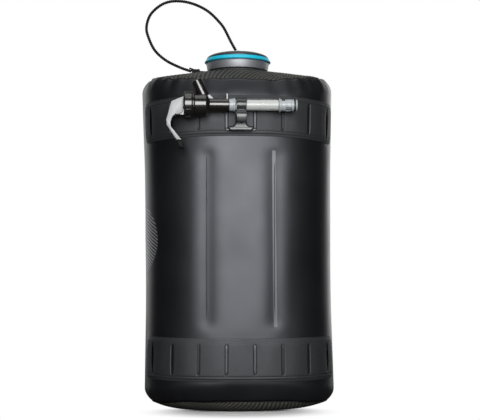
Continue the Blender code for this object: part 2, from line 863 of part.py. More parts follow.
def make_plug():
    """The plug: an insert with its grooves on the left, a collar, and a barbed tail in the hose."""
    root = PLUG_LENGTH + PLUG_COLLAR
    groove_low = PLUG_LENGTH - LATCH_FROM_COLLAR - PLUG_GROOVE / 2
    groove_high = groove_low + PLUG_GROOVE
    ring_low = groove_low / 2 - PLUG_RING_WIRE_R - GAP
    ring_high = groove_low / 2 + PLUG_RING_WIRE_R + GAP
    rising = [
        (WATERWAY_R, 0),
        (PLUG_R, 0),
        (PLUG_R, ring_low),
        (SEAL_GROOVE_R, ring_low),
        (SEAL_GROOVE_R, ring_high),
        (PLUG_R, ring_high),
        (PLUG_R, groove_low),
        (PLUG_GROOVE_R, groove_low),
        (PLUG_GROOVE_R, min(groove_high, PLUG_LENGTH)),
    ]
    if groove_high < PLUG_LENGTH:
        rising += [(PLUG_R, groove_high), (PLUG_R, PLUG_LENGTH)]
    rising += [(PLUG_COLLAR_R, PLUG_LENGTH), (PLUG_COLLAR_R, root)]
    rising += barb_profile(root, root + BARB_LENGTH, WATERWAY_R)
    made = turned("plug", rising[::-1], LIGHT_GREY, facets=HOSE_FACETS)
    return along_x(made, PLUG_COLLAR_LEFT_X - PLUG_LENGTH)


def make_o_ring(name, groove_r, wire_r, middle_x):
    """A ring of round wire in a groove, with its middle at a place along the tap's axis."""
    profile = []
    for i in range(RING_WIRE_FACETS):
        turn = math.tau * i / RING_WIRE_FACETS
        radius = groove_r + GAP + wire_r + wire_r * math.cos(turn)
        profile.append((radius, -wire_r * math.sin(turn)))
    return along_x(turned(name, profile, RUBBER, facets=HOSE_FACETS), middle_x)


def make_plug_o_ring():
    from_end = (PLUG_LENGTH - LATCH_FROM_COLLAR - PLUG_GROOVE / 2) / 2
    x = PLUG_COLLAR_LEFT_X - PLUG_LENGTH + from_end
    return make_o_ring("plug_o_ring", SEAL_GROOVE_R, PLUG_RING_WIRE_R, x)


def make_end_connector():
    """The hose's right end: a barbed tail, a flange, a windowed body, a ring groove and a lip."""
    body_low = BARB_LENGTH + FLANGE_END
    body_high = body_low + WINDOW_BODY
    lip_low = body_high + END_RING_GROOVE
    end = lip_low + END_LIP
    tail = [
        (r, BARB_LENGTH - z) for r, z in barb_profile(0, BARB_LENGTH, WATERWAY_R)
    ][::-1]
    rising = tail + [
        (FLANGE_END_R, BARB_LENGTH),
        (FLANGE_END_R, body_low),
        (WINDOW_BODY_R, body_low),
        (WINDOW_BODY_R, body_high),
        (END_NECK_R, body_high),
        (END_NECK_R, lip_low),
        (END_LIP_R, lip_low),
        (END_LIP_R, end),
        (WATERWAY_R, end),
    ]
    made = turned("end_connector", rising[::-1], LIGHT_GREY, facets=HOSE_FACETS)
    along_x(made, HOSE_RIGHT_X + GAP - BARB_LENGTH)
    left = HOSE_RIGHT_X + GAP + FLANGE_END + WINDOW_INSET
    right = HOSE_RIGHT_X + GAP + FLANGE_END + WINDOW_BODY - WINDOW_INSET
    window_half = WINDOW_BODY_R / 2
    floor = END_NECK_R - WINDOW_WALL / 2
    for k in range(4):
        cutter = block(
            f"window_{k}",
            (left, -window_half, floor),
            (right, window_half, WINDOW_BODY_R + OVERRUN),
        )
        cutter.rotation_euler = (math.tau * k / 4, 0, 0)
        cutter.location = (0, TAP_Y, TAP_Z)
        boolean(made, cutter)
    return made


def make_end_o_ring():
    groove_x = HOSE_RIGHT_X + GAP + FLANGE_END + WINDOW_BODY
    x = groove_x + END_RING_GROOVE / 2
    return make_o_ring("end_o_ring", END_NECK_R, END_RING_WIRE_R, x)


def make_tube_clip():
    """A hooked strip: up behind the hose, over it and down its front, on a foot set in two slits."""
    inner = HOSE_R + CLIP_SLIDE_GAP
    outer = inner + CLIP
    back = inner + CLIP_BACK
    steps = 10
    foot_top = TAP_Z - FOOT_TOP_DROP
    low_front = TAP_Z - CURL_DROP
    turns = [math.pi * i / steps for i in range(steps + 1)]
    outline = [(TAP_Y + back, foot_top - FOOT_HEIGHT)]
    for t in turns:
        reach = back if math.cos(t) > 0 else outer
        outline.append((TAP_Y + reach * math.cos(t), TAP_Z + outer * math.sin(t)))
    outline += [(TAP_Y - outer, low_front), (TAP_Y - inner, low_front)]
    outline += [(TAP_Y + inner * math.cos(t), TAP_Z + inner * math.sin(t)) for t in turns[::-1]]
    outline += [(TAP_Y + inner, foot_top - FOOT_HEIGHT)]
    clip = extruded("tube_clip", outline, CLIP_HALF_LENGTH, CLIP_GREY)
    clip.data.transform(Matrix(((0, 0, 1, 0), (1, 0, 0, 0), (0, 1, 0, 0), (0, 0, 0, 1))))
    front_y = TAP_Y + inner
    back_y = TAP_Y + back
    low = foot_top - FOOT_HEIGHT
    slit_low = UPPER_BAND_Z - SLIT_HEIGHT / 2 + RUNNING_GAP
    foot = block(
        "clip_foot", (-FOOT_HALF_LENGTH, front_y, low), (FOOT_HALF_LENGTH, back_y, foot_top)
    )
    boolean(clip, foot, "UNION")
    for side in (-1, 1):
        slit = side * SLIT_PITCH / 2
        near = side * (FOOT_HALF_LENGTH - OVERRUN)
        far = slit + side * FOOT_HOOK / 2
        arm = block(
            f"clip_arm_{side}",
            (min(near, far), front_y, slit_low),
            (max(near, far), back_y, foot_top - GAP),
        )
        boolean(clip, arm, "UNION")
        hook = block(
            f"clip_hook_{side}",
            (slit - FOOT_HOOK / 2, back_y - CLIP / 2, slit_low),
            (slit + FOOT_HOOK / 2, back_y + GAP + BAND / 2, foot_top - GAP),
        )
        boolean(clip, hook, "UNION")
    return clip


def make_tap_body():
    """The valve body with its chamber, the spout that leaves it, and the plug's socket."""
    socket_end = BODY_LENGTH + SOCKET_LENGTH
    outside = [
        (0, 0),
        (BODY_R, 0),
        (BODY_R, BODY_LENGTH - BODY_ROUND),
        (BODY_R - BODY_ROUND, BODY_LENGTH),
        (SOCKET_R, BODY_LENGTH),
        (SOCKET_R, socket_end),
        (0, socket_end),
    ]
    body = turned("tap_body", outside[::-1], BLACK, facets=32, closed=False)
    along_x(body, BODY_LEFT_X)
    spout_x = BODY_RIGHT_X - SPOUT_X_SHARE * BODY_LENGTH
    spout = rod("spout_outside", SPOUT_R, SPOUT_LENGTH)
    bore = rod("spout_bore", SPOUT_BORE_R, SPOUT_LENGTH, facets=20)
    for piece, start in ((spout, 0), (bore, SPOUT_BORE_START)):
        piece.rotation_euler = (0, -SPOUT_TILT, 0)
        piece.location = (
            spout_x - start * math.sin(SPOUT_TILT),
            TAP_Y,
            TAP_Z + start * math.cos(SPOUT_TILT),
        )
    gusset = extruded(
        "gusset",
        [(-GUSSET_REACH, 0), (GUSSET_REACH, 0), (-GUSSET_REACH, GUSSET_REACH * 2)],
        GUSSET / 2,
        collection=CUTTERS,
    )
    gusset.rotation_euler = (math.pi / 2, 0, 0)
    gusset.location = (BODY_RIGHT_X, TAP_Y, TAP_Z + SOCKET_R - GUSSET)
    chamber = rod("chamber", CHAMBER_R, CHAMBER_LENGTH + OVERRUN)
    along_x(chamber, BODY_LEFT_X - OVERRUN)
    seat = rod("seat_hole", SEAT_HOLE_R, BODY_LENGTH)
    along_x(seat, BODY_LEFT_X + CHAMBER_LENGTH / 2)
    socket = rod("socket_bore", SOCKET_BORE_R, SOCKET_LENGTH + OVERRUN)
    along_x(socket, BODY_RIGHT_X)
    slot_half = LATCH_DISC_R + RUNNING_GAP
    slot_z = TAP_Z + LATCH_RAISE - LATCH_TRAVEL
    slot = block(
        "latch_slot",
        (LATCH_LEFT_X - RUNNING_GAP, TAP_Y - slot_half, slot_z),
        (LATCH_RIGHT_X + RUNNING_GAP, TAP_Y + slot_half, TAP_Z + SOCKET_R + OVERRUN),
    )
    slot_floor = rod("latch_slot_floor", slot_half, LATCH + 2 * RUNNING_GAP, facets=20)
    along_x(slot_floor, LATCH_LEFT_X - RUNNING_GAP)
    slot_floor.location.z = slot_z
    boolean(body, spout, "UNION")
    boolean(body, gusset, "UNION")
    for cutter in (chamber, bore, seat, socket, slot, slot_floor):
        boolean(body, cutter)
    return body


def make_tap_collar():
    """The screwed collar that closes the chamber, notched for grip, with an ear for the lever."""
    outside = [(0, 0), (COLLAR_R, 0), (COLLAR_R, COLLAR_LENGTH), (0, COLLAR_LENGTH)]
    collar = turned("tap_collar", outside[::-1], BLACK, facets=36, closed=False)
    along_x(collar, COLLAR_LEFT_X)
    ear = block(
        "ear",
        (PIVOT_X - EAR_REACH, TAP_Y - EAR_HALF, PIVOT_Z - EAR_REACH),
        (COLLAR_LEFT_X + OVERRUN, TAP_Y + EAR_HALF, PIVOT_Z + EAR_REACH),
    )
    boolean(collar, ear, "UNION")
    hollow = rod("collar_hollow", CHAMBER_R, COLLAR_LENGTH - COLLAR_WALL + OVERRUN)
    along_x(hollow, COLLAR_LEFT_X + COLLAR_WALL)
    guide = rod("stem_guide", STEM_R + RUNNING_GAP, COLLAR_LENGTH, facets=20)
    along_x(guide, COLLAR_LEFT_X - OVERRUN)
    pin_hole = rod("pin_hole", PIN_R + PIN_GAP, 2 * COLLAR_R, facets=16)
    pin_hole.rotation_euler = (-math.pi / 2, 0, 0)
    pin_hole.location = (PIVOT_X, TAP_Y - COLLAR_R, PIVOT_Z)
    for cutter in (hollow, guide, pin_hole):
        boolean(collar, cutter)
    for k in range(COLLAR_NOTCHES):
        turn = math.tau * (k + 0.5) / COLLAR_NOTCHES
        notch = rod(f"notch_{k}", COLLAR_NOTCH, COLLAR_LENGTH + 2 * OVERRUN, facets=6)
        along_x(notch, COLLAR_LEFT_X - OVERRUN)
        notch.location.y += COLLAR_R * math.cos(turn)
        notch.location.z += COLLAR_R * math.sin(turn)
        boolean(collar, notch)
    return collar


def make_valve_stem():
    """The rod that the lever pulls, with a cross bar on its left and a flange behind the seal."""
    right = SEAT_X - SEAL - 2 * GAP
    flange_low = right - STEM_FLANGE
    start = PIVOT_X + lever_reach_at_axis() + POCKET_DEPTH - GAP - CROSS_R
    rising = [
        (0, 0),
        (STEM_R, 0),
        (STEM_R, flange_low - start),
        (STEM_FLANGE_R, flange_low - start),
        (STEM_FLANGE_R, right - start),
        (0, right - start),
    ]
    stem = turned("valve_stem", rising[::-1], LIGHT_GREY, facets=20, closed=False)
    along_x(stem, start)
    cross = rod("cross_bar", CROSS_R, 2 * CROSS_HALF, facets=16)
    cross.rotation_euler = (-math.pi / 2, 0, 0)
    cross.location = (start, TAP_Y - CROSS_HALF, TAP_Z)
    return boolean(stem, cross, "UNION")


def lever_reach_at_axis():
    """How far left of the pivot the lever's outer face lies, at the height of the tap's axis."""
    (x1, z1), (x2, z2) = LEVER_OUTLINE[3], LEVER_OUTLINE[4]
    share = (PIVOT_DROP - z1) / (z2 - z1)
    return x1 + (x2 - x1) * share


def make_valve_seal():
    profile = [(SEAL_R, SEAL), (SEAL_R, 0), (0, 0)]
    profile = [(0, SEAL), *profile]
    return along_x(
        turned("valve_seal", profile, RUBBER, facets=24, closed=False), SEAT_X - SEAL - GAP
    )


def make_valve_spring():
    """The coil behind the stem's flange, drawn at the length that it has with the tap open."""
    right = SEAT_X - SEAL - 2 * GAP - STEM_FLANGE - GAP - SPRING_WIRE_R
    left = COLLAR_LEFT_X + COLLAR_WALL + STEM_TRAVEL + GAP + SPRING_WIRE_R
    per_turn = 10
    count = SPRING_TURNS * per_turn
    points = []
    for i in range(count + 1):
        turn = math.tau * i / per_turn
        x = left + (right - left) * i / count
        points.append((x, TAP_Y + SPRING_R * math.cos(turn), TAP_Z + SPRING_R * math.sin(turn)))
    return tube("valve_spring", points, SPRING_WIRE_R, STEEL, bevel_resolution=1)


LEVER_OUTLINE = [(x * LEVER_DROP, z * LEVER_DROP) for x, z in LEVER_OUTLINE_SHARES]


def make_lever():
    """The press lever, forked over the ear, with a pocket for the cross bar and a blind hole for the pin."""
    lever = extruded("lever", LEVER_OUTLINE, LEVER_WIDTH / 2, LIGHT_GREY)
    lever.data.transform(Matrix(((1, 0, 0, 0), (0, 0, -1, 0), (0, 1, 0, 0), (0, 0, 0, 1))))
    lever.location = (PIVOT_X, TAP_Y, PIVOT_Z)
    half = LEVER_SLOT / 2
    top = PIVOT_Z + max(z for _, z in LEVER_OUTLINE)
    left = PIVOT_X + min(x for x, _ in LEVER_OUTLINE)
    fork = block(
        "lever_fork",
        (PIVOT_X - FORK_DEPTH, TAP_Y - half, PIVOT_Z - 2 * EAR_REACH),
        (COLLAR_LEFT_X, TAP_Y + half, top + OVERRUN),
    )
    slot = block(
        "stem_slot",
        (left - OVERRUN, TAP_Y - half, TAP_Z - half),
        (PIVOT_X, TAP_Y + half, top + OVERRUN),
    )
    pocket_half = CROSS_HALF + RUNNING_GAP
    pocket = block(
        "bar_pocket",
        (left - OVERRUN, TAP_Y - pocket_half, TAP_Z - POCKET_DROP),
        (PIVOT_X + lever_reach_at_axis() + POCKET_DEPTH, TAP_Y + pocket_half, top + OVERRUN),
    )
    pin_half = LEVER_WIDTH / 2 - PIN_INSET + GAP
    hole = rod("lever_hole", PIN_R + PIN_GAP, 2 * pin_half, facets=16)
    hole.rotation_euler = (-math.pi / 2, 0, 0)
    hole.location = (PIVOT_X, TAP_Y - pin_half, PIVOT_Z)
    for cutter in (fork, slot, pocket, hole):
        boolean(lever, cutter)
    return lever


def make_lever_pin():
    half = LEVER_WIDTH / 2 - PIN_INSET
    pin = rod("lever_pin", PIN_R, 2 * half, facets=16, collection=PART, finish=STEEL)
    pin.rotation_euler = (-math.pi / 2, 0, 0)
    pin.location = (PIVOT_X, TAP_Y - half, PIVOT_Z)
    return pin


def make_lever_tip():
    """The rubber tip under the lever's foot."""
    (x1, z1), (x2, _) = LEVER_OUTLINE[6], LEVER_OUTLINE[7]
    middle = PIVOT_X + (x1 + x2) / 2 + TIP_HALF_X / 4
    top = PIVOT_Z + z1 - GAP
    half = LEVER_WIDTH / 2 - RUNNING_GAP
    tip = block(
        "lever_tip",
        (middle - TIP_HALF_X, TAP_Y - half, top - TIP_LENGTH),
        (middle + TIP_HALF_X, TAP_Y + half, top),
        collection=PART,
        finish=RUBBER,
    )
    rounding = tip.modifiers.new("rounding", "BEVEL")
    rounding.width = TIP_HALF_X / 2
    rounding.segments = 2
    return tip


def make_latch_plate():
    """The sprung plate in the socket's mouth: a disc whose hole holds the plug's groove, and a tab."""
    middle_z = TAP_Z + LATCH_RAISE
    plate = rod("latch_plate", LATCH_DISC_R, LATCH, facets=20, collection=PART, finish=BLACK)
    tab = block(
        "latch_tab",
        (LATCH_LEFT_X, TAP_Y - LATCH_TAB_HALF, middle_z),
        (LATCH_RIGHT_X, TAP_Y + LATCH_TAB_HALF, TAP_Z + LATCH_TAB_HEIGHT),
    )
    hole = rod("latch_hole", LATCH_HOLE_R, LATCH + 2 * OVERRUN, facets=20)
    for piece, x in ((plate, LATCH_LEFT_X), (hole, LATCH_LEFT_X - OVERRUN)):
        along_x(piece, x)
        piece.location.z = middle_z
    boolean(plate, tab, "UNION")
    return boolean(plate, hole)


make_side_wall()
make_top_panel()
make_bottom_panel()
make_band("upper_front_band", UPPER_BAND_Z, UPPER_BAND_HEIGHT, 1)
make_band("upper_rear_band", UPPER_BAND_Z, UPPER_BAND_HEIGHT, -1)
make_band("lower_front_band", LOWER_BAND_Z, LOWER_BAND_HEIGHT, 1)
make_band("lower_rear_band", LOWER_BAND_Z, LOWER_BAND_HEIGHT, -1)
make_baffle("left_baffle", -BAFFLE_X)
make_baffle("right_baffle", BAFFLE_X)
make_neck()
make_cap_shell()
make_cap_ring()
make_cap_cover()
make_cap_gasket()
make_tether_swivel()
make_tether()
make_tether_ring()
make_tether_ferrule()
make_tube_clip()
make_hose()
make_plug()
make_plug_o_ring()
make_end_connector()
make_end_o_ring()
make_tap_body()
make_tap_collar()
make_valve_stem()
make_valve_seal()
make_valve_spring()
make_lever()
make_lever_pin()
make_lever_tip()
make_latch_plate()
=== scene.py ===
# %% [markdown]
# # A collapsible water carrier
#
# The bag is a tube of dark coated film with a ribbed fabric top and bottom. It carries a screw cap on a
# rope tether, two slit bands, and a lever tap parked in a clip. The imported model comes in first, as a
# frame that never moves, and each new piece is made where that frame says.

import bisect
import math

import bmesh
import bpy
from mathutils import Matrix, Vector, noise


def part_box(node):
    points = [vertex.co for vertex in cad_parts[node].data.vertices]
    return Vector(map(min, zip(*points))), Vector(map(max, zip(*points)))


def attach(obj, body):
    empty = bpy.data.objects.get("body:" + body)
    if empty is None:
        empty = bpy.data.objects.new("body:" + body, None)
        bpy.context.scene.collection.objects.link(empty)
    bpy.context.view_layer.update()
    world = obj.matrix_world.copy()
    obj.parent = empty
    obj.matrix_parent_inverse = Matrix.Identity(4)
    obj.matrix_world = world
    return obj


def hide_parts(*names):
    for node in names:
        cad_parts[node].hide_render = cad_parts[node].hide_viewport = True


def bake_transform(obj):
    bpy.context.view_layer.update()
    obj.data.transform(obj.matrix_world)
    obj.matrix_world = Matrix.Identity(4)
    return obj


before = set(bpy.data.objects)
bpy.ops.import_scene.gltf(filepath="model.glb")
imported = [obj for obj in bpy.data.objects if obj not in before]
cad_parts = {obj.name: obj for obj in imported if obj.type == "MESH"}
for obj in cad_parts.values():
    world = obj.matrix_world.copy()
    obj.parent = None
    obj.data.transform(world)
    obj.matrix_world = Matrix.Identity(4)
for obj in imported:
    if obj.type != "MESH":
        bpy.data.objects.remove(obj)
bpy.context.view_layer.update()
scene = bpy.context.scene
scene.view_settings.view_transform = "Standard"

# %% [markdown]
# ## The camera
#
# The photograph looks at the bag almost square on, from about knee height of a bag this size and from
# far away. A long lens on a level camera keeps the sides upright, and a small shift of the lens frames
# the bag without tilting the camera.

# %% Make the camera
CAMERA_PLACE = (-0.0556, -1.2988, 0.132)
CAMERA_YAW = math.radians(-2.45)
LENS = 93.3
LENS_SHIFT = (0.005, 0.1475)

lens = bpy.data.cameras.new("camera")
lens.lens = LENS
lens.shift_x, lens.shift_y = LENS_SHIFT
camera = bpy.data.objects.new("camera", lens)
camera.location = CAMERA_PLACE
camera.rotation_euler = (math.pi / 2, 0, CAMERA_YAW)
scene.collection.objects.link(camera)
scene.camera = camera
print("camera", CAMERA_PLACE, "lens", LENS)

# %% [markdown]
# ## Helpers
#
# Three things are done for almost every piece: a profile is turned about an axis, sharp edges are
# softened with a narrow bevel so that they catch the light, and a finished mesh is put in the scene on
# its body with its finish.


# %% Put a piece in the scene
def place(bm, name, finish, body=None, slot=None, stands_for=(), sharp=35):
    mesh = bpy.data.meshes.new(name)
    bm.to_mesh(mesh)
    bm.free()
    mesh.shade_smooth()
    mesh.set_sharp_from_angle(angle=math.radians(sharp))
    mesh.materials.append(finish)
    made = bpy.data.objects.new(name, mesh)
    scene.collection.objects.link(made)
    if body:
        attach(made, body)
    if stands_for:
        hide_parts(*stands_for)
    print(name, len(mesh.vertices), "points")
    return made


# %% Turn a profile, join shells and soften edges
WELD = 1e-6


def outward(bm):
    """Turns all faces the right way out."""
    bmesh.ops.recalc_face_normals(bm, faces=bm.faces)
    return bm


def spun(bm, geometry, angle, steps, rise=0.0):
    """Turns geometry about Z. A whole turn is closed."""
    whole = angle == math.tau
    path = {"axis": (0, 0, 1), "cent": (0, 0, 0), "dvec": (0, 0, rise / steps)}
    bmesh.ops.spin(bm, geom=geometry, angle=angle, steps=steps, use_merge=whole, **path)
    if whole:
        bmesh.ops.remove_doubles(bm, verts=bm.verts, dist=WELD)
    return outward(bm)


def turned(profile, steps=64):
    """(radius, height) points turned once round Z. A profile that starts off the axis is a closed one."""
    bm = bmesh.new()
    points = [bm.verts.new((radius, 0, height)) for radius, height in profile]
    lines = [bm.edges.new(pair) for pair in zip(points, points[1:])]
    if profile[0][0]:
        lines.append(bm.edges.new((points[-1], points[0])))
    return spun(bm, points + lines, math.tau, steps)


def cad_mesh(node):
    """The frame's own mesh of a node."""
    bm = bmesh.new()
    bm.from_mesh(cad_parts[node].data)
    return bm


def added(bm, other):
    """Puts another mesh into this one, as a shell of its own."""
    mesh = bpy.data.meshes.new("shell")
    other.to_mesh(mesh)
    other.free()
    bm.from_mesh(mesh)
    bpy.data.meshes.remove(mesh)
    return bm


EDGE = 0.0003  # the bevel of a moulded corner
FINE_EDGE = 0.00015


def soften(bm, width, segments=3, limit=30):
    sharp = [e for e in bm.edges if e.is_manifold and e.calc_face_angle(0) > math.radians(limit)]
    shape = {"offset": width, "segments": segments, "profile": 0.5, "clamp_overlap": True}
    bmesh.ops.bevel(bm, geom=sharp, affect="EDGES", material=-1, **shape)
    return bm


def round_piece(name, profile, steps, edge, *rest):
    """Turns a profile, softens its corners by edge and puts it in the scene."""
    return place(soften(turned(profile, steps), edge), name, *rest)


def clamp(x):
    return min(max(x, 0), 1)


def step(x):
    """Eases from 0 to 1."""
    x = clamp(x)
    return x * x * (3 - 2 * x)


def bell(x, width):
    return math.exp(-((x / width) ** 2))


# %% [markdown]
# ## Finishes
#
# Every finish is a Principled shader with a few noise nodes in front of it. One helper adds a node, one
# lets a noise vary the roughness, one the colour, and one turns a pattern into a bump. The patterns read
# Object coordinates in metres, so their scale is that of the real thing.


# %% Helpers for finishes
def feed(made, socket, value):
    """Sets a socket's value, or joins another socket to it."""
    if isinstance(value, bpy.types.NodeSocket):
        made.node_tree.links.new(value, socket)
    elif value is not None:
        socket.default_value = value


def add_node(made, kind, *values, out=0, **named):
    """A new node's output. The values go to its sockets in order, the named ones to sockets or settings."""
    node = made.node_tree.nodes.new("ShaderNode" + kind)
    fed = [*zip(node.inputs, values)]
    for name, value in named.items():
        if name.replace("_", " ") in node.inputs:
            fed.append((node.inputs[name.replace("_", " ")], value))
        else:
            setattr(node, name, value)
    for socket, value in fed:
        feed(made, socket, value)
    return node.outputs[out]


def shader_of(made):
    return made.node_tree.nodes["Principled BSDF"]


def new_finish(name, colour, roughness, metallic=0.0, **sockets):
    made = bpy.data.materials.new(name)
    made.use_nodes = True
    sockets |= {"Base_Color": (*colour, 1), "Roughness": roughness, "Metallic": metallic}
    for socket, value in sockets.items():
        feed(made, shader_of(made).inputs[socket.replace("_", " ")], value)
    return made


def pattern(made, scale, detail=3.0, stretch=(1, 1, 1)):
    """A noise of that many waves to the metre."""
    places = add_node(made, "Mapping", add_node(made, "TexCoord", out="Object"), Scale=stretch)
    return add_node(made, "TexNoise", places, Scale=scale, Detail=detail, out="Fac")


def spread(made, fac, low, high):
    """Lets a pattern run the roughness from low to high."""
    ramp = add_node(made, "MapRange", fac, From_Min=0.3, From_Max=0.7, To_Min=low, To_Max=high)
    feed(made, shader_of(made).inputs["Roughness"], ramp)


def tint(made, fac, dark, light):
    """Lets a pattern run the base colour between two colours."""
    colour = add_node(made, "ValToRGB", fac)
    for stop, position, shade in zip(colour.node.color_ramp.elements, (0.3, 0.7), (dark, light)):
        stop.position = position
        stop.color = (*shade, 1)
    feed(made, shader_of(made).inputs["Base Color"], colour)


def bump(made, fac, depth, strength):
    """Turns a pattern into a relief of that depth in metres. A later one is laid over an earlier one."""
    normal = shader_of(made).inputs["Normal"]
    before = normal.links[0].from_socket if normal.links else None
    relief = add_node(made, "Bump", Distance=depth, Strength=strength, Height=fac, Normal=before)
    feed(made, normal, relief)


# %% Film, bands and ribbed fabric
COOL = (0.91, 0.925, 1.0, 1)  # both films shine a little blue
film = new_finish("bag_film", (0.009, 0.0095, 0.0108), 0.40, Specular_IOR_Level=0.55, Specular_Tint=COOL)
spread(film, pattern(film, 26), 0.37, 0.43)
tint(film, pattern(film, 9, 2), (0.0042, 0.0044, 0.0054), (0.0066, 0.0069, 0.0082))
bump(film, pattern(film, 2600, 2), 0.00003, 0.5)
bump(film, pattern(film, 34, 3), 0.0009, 0.10)

band_film = new_finish("band_film", (0.026, 0.027, 0.028), 0.56, Specular_Tint=COOL)
spread(band_film, pattern(band_film, 40), 0.52, 0.60)
tint(band_film, pattern(band_film, 900, 2), (0.0125, 0.0133, 0.0138), (0.0195, 0.0204, 0.0208))
bump(band_film, pattern(band_film, 2200, 2), 0.00006, 0.6)

RIB_PITCH = 0.0040
RIB_TURN = math.radians(17)
WAVE_SCALE = math.pi / 10 / RIB_PITCH  # at this scale one wave is one rib


def ribbed_finish(name, dark, light):
    made = new_finish(name, light, 0.62)
    flat = add_node(made, "UVMap", uv_map="flat")
    slanted = add_node(made, "Mapping", flat, Rotation=(0, 0, RIB_TURN), Scale=(WAVE_SCALE,) * 3)
    waves = add_node(made, "TexWave", slanted, Scale=1, out="Fac")
    # The ribs' colour is painted shade in the grooves and painted light on the crests, on the same waves as
    # their relief.
    tint(made, waves, dark, light)
    bump(made, waves, 0.0003, 1.0)
    bump(made, pattern(made, 1500, 2), 0.00008, 0.5)
    return made


ribbed = ribbed_finish("ribbed_film", (0.006, 0.006, 0.005), (0.052, 0.051, 0.044))
# The bottom's copy of the same ribbed fabric is painted several times lighter: painted light that stands in
# for the light the white floor throws up onto it.
ribbed_floor_lit = ribbed_finish("ribbed_film_floor_lit", (0.045, 0.045, 0.039), (0.170, 0.166, 0.146))
print("soft finishes made")


# %% Moulded plastics, metal and rubber
def moulded(name, colour, rough, grain, fine, depth, strength=0.4, metallic=0.0, **sockets):
    """A hard finish: its roughness follows the pattern grain, and its relief the pattern fine."""
    made = new_finish(name, colour, sum(rough) / 2, metallic, **sockets)
    spread(made, pattern(made, *grain), *rough)
    if depth:
        bump(made, pattern(made, *fine), depth, strength)
    return made


BRUSHED = ((90, 4, (1, 1, 26)), (90, 4, (1, 1, 30)))
BRUSHED_DARK = ((90, 4, (1, 1, 20)), (900, 2))
SHINY = {"Specular_IOR_Level": 0.75}
DULL = {"Specular_IOR_Level": 0.25}
CLEAR = {"Transmission_Weight": 0.25}
black_plastic = moulded(
    "black_plastic", (0.009, 0.0082, 0.0074), (0.17, 0.23), (300,), (500, 2), 0.00004, 0.3, **SHINY
)
cap_grey = moulded("cap_grey", (0.275, 0.283, 0.302), (0.52, 0.60), *BRUSHED, 0.00003, metallic=0.80)
cap_dark = moulded(
    "cap_cover_dark", (0.085, 0.088, 0.095), (0.32, 0.42), *BRUSHED_DARK, 0.00003, metallic=0.75
)
cap_blue = moulded("cap_blue", (0.010, 0.430, 0.600), (0.34, 0.42), (500,), (1200, 2), 0.00003)
rubber = moulded("black_rubber", (0.012, 0.012, 0.013), (0.55, 0.70), (700,), (1800, 2), 0.00005, 0.5)
dull_black = moulded(
    "dull_rubber", (0.004, 0.004, 0.0045), (0.70, 0.80), (600,), (1500, 2), 0.00005, **DULL
)
light_grey = moulded("grey_plastic", (0.270, 0.277, 0.282), (0.32, 0.42), (260,), (800, 2), 0.00004)
clip_grey = moulded("clip_plastic", (0.020, 0.021, 0.023), (0.22, 0.30), (260,), (900, 2), 0.00004)
fitting_grey = moulded("fitting_plastic", (0.330, 0.355, 0.370), (0.26, 0.36), (260,), (800, 2), 0.00004)
pale_hose = moulded(
    "clear_hose", (0.560, 0.575, 0.555), (0.24, 0.34), (160, 2, (0.2, 1, 1)), (), 0, **CLEAR
)
steel = moulded("steel", (0.560, 0.565, 0.570), (0.20, 0.34), (200, 3, (1, 1, 12)), (), 0, metallic=1.0)
print("hard finishes made")

# %% [markdown]
# ## The tether
#
# The cap is kept by a short laid rope of three strands. It leaves a turning button on the cap, stands up
# in a loop and ends in a ferrule beside the neck. A plain round tube would lose the lay, so the section
# here has three lobes and turns as it goes along the route.

# %% The rope's route
TETHER_RADIUS = 0.00162
TETHER_LAY = 0.0066  # length in which a strand goes once round
TETHER_STEP = 0.0006
FINE_STEPS = 40  # between two points of a route
BUTTON_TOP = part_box("tether_swivel")[1].z - 0.0030
# The route in tenths of a millimetre: across the photo, back from it, and up
TETHER_OUT = (-20, -70, -143, -208, -274, -339, -423, -510, -600, -693, -780, -860, -918, -948)
TETHER_OUT += (-936, -866, -749, -600, -483)
TETHER_SIDE = (6, 10, 12, 16, 20, 24, 26, 26, 24, 18, 8, -2, -12, -20, -28, -34, -37, -38, -38)
TETHER_UP = (3730, 3820, 3963, 4044, 4110, 4158, 4200, 4228, 4241, 4236, 4206, 4146, 4072, 3968)
TETHER_UP += (3872, 3720, 3612, 3538, 3498)
TETHER_ROUTE = [tuple(v / 10000 for v in at) for at in zip(TETHER_OUT, TETHER_SIDE, TETHER_UP)]


def runs_of(places):
    """The length run up to each of the places on a line."""
    runs = [0.0]
    for a, b in zip(places, places[1:]):
        runs.append(runs[-1] + (b - a).length)
    return runs


def reached(runs, target):
    """Where a length ends: the number of the step, and the share of that step."""
    k = min(max(bisect.bisect(runs, target), 1), len(runs) - 1)
    return k, (target - runs[k - 1]) / (runs[k] - runs[k - 1])


def smooth_route(points, step):
    """Points a step apart on a smooth curve through the given ones."""
    nodes = [Vector(p) for p in points]
    nodes = [2 * nodes[0] - nodes[1], *nodes, 2 * nodes[-1] - nodes[-2]]
    fine = []
    for a, b, c, d in zip(nodes, nodes[1:], nodes[2:], nodes[3:]):
        for k in range(FINE_STEPS):
            t = k / FINE_STEPS
            square = (2 * a - 5 * b + 4 * c - d) * t**2
            cube = (3 * b - 3 * c + d - a) * t**3
            fine.append((2 * b + (c - a) * t + square + cube) / 2)
    fine.append(nodes[-2])
    runs = runs_of(fine)
    count = round(runs[-1] / step)
    even = []
    for i in range(count + 1):
        k, share = reached(runs, runs[-1] * i / count)
        even.append(fine[k - 1].lerp(fine[k], share))
    return even, runs[-1]


tether_line, tether_length = smooth_route(TETHER_ROUTE, TETHER_STEP)
print(f"tether {tether_length * 1000:.0f} mm in {len(tether_line)} steps")


# %% Sweep a section along a route
def filled(bm, edges):
    """Closes the openings among those edges."""
    bmesh.ops.holes_fill(bm, edges=[e for e in edges if e.is_boundary], sides=0)
    return outward(bm)


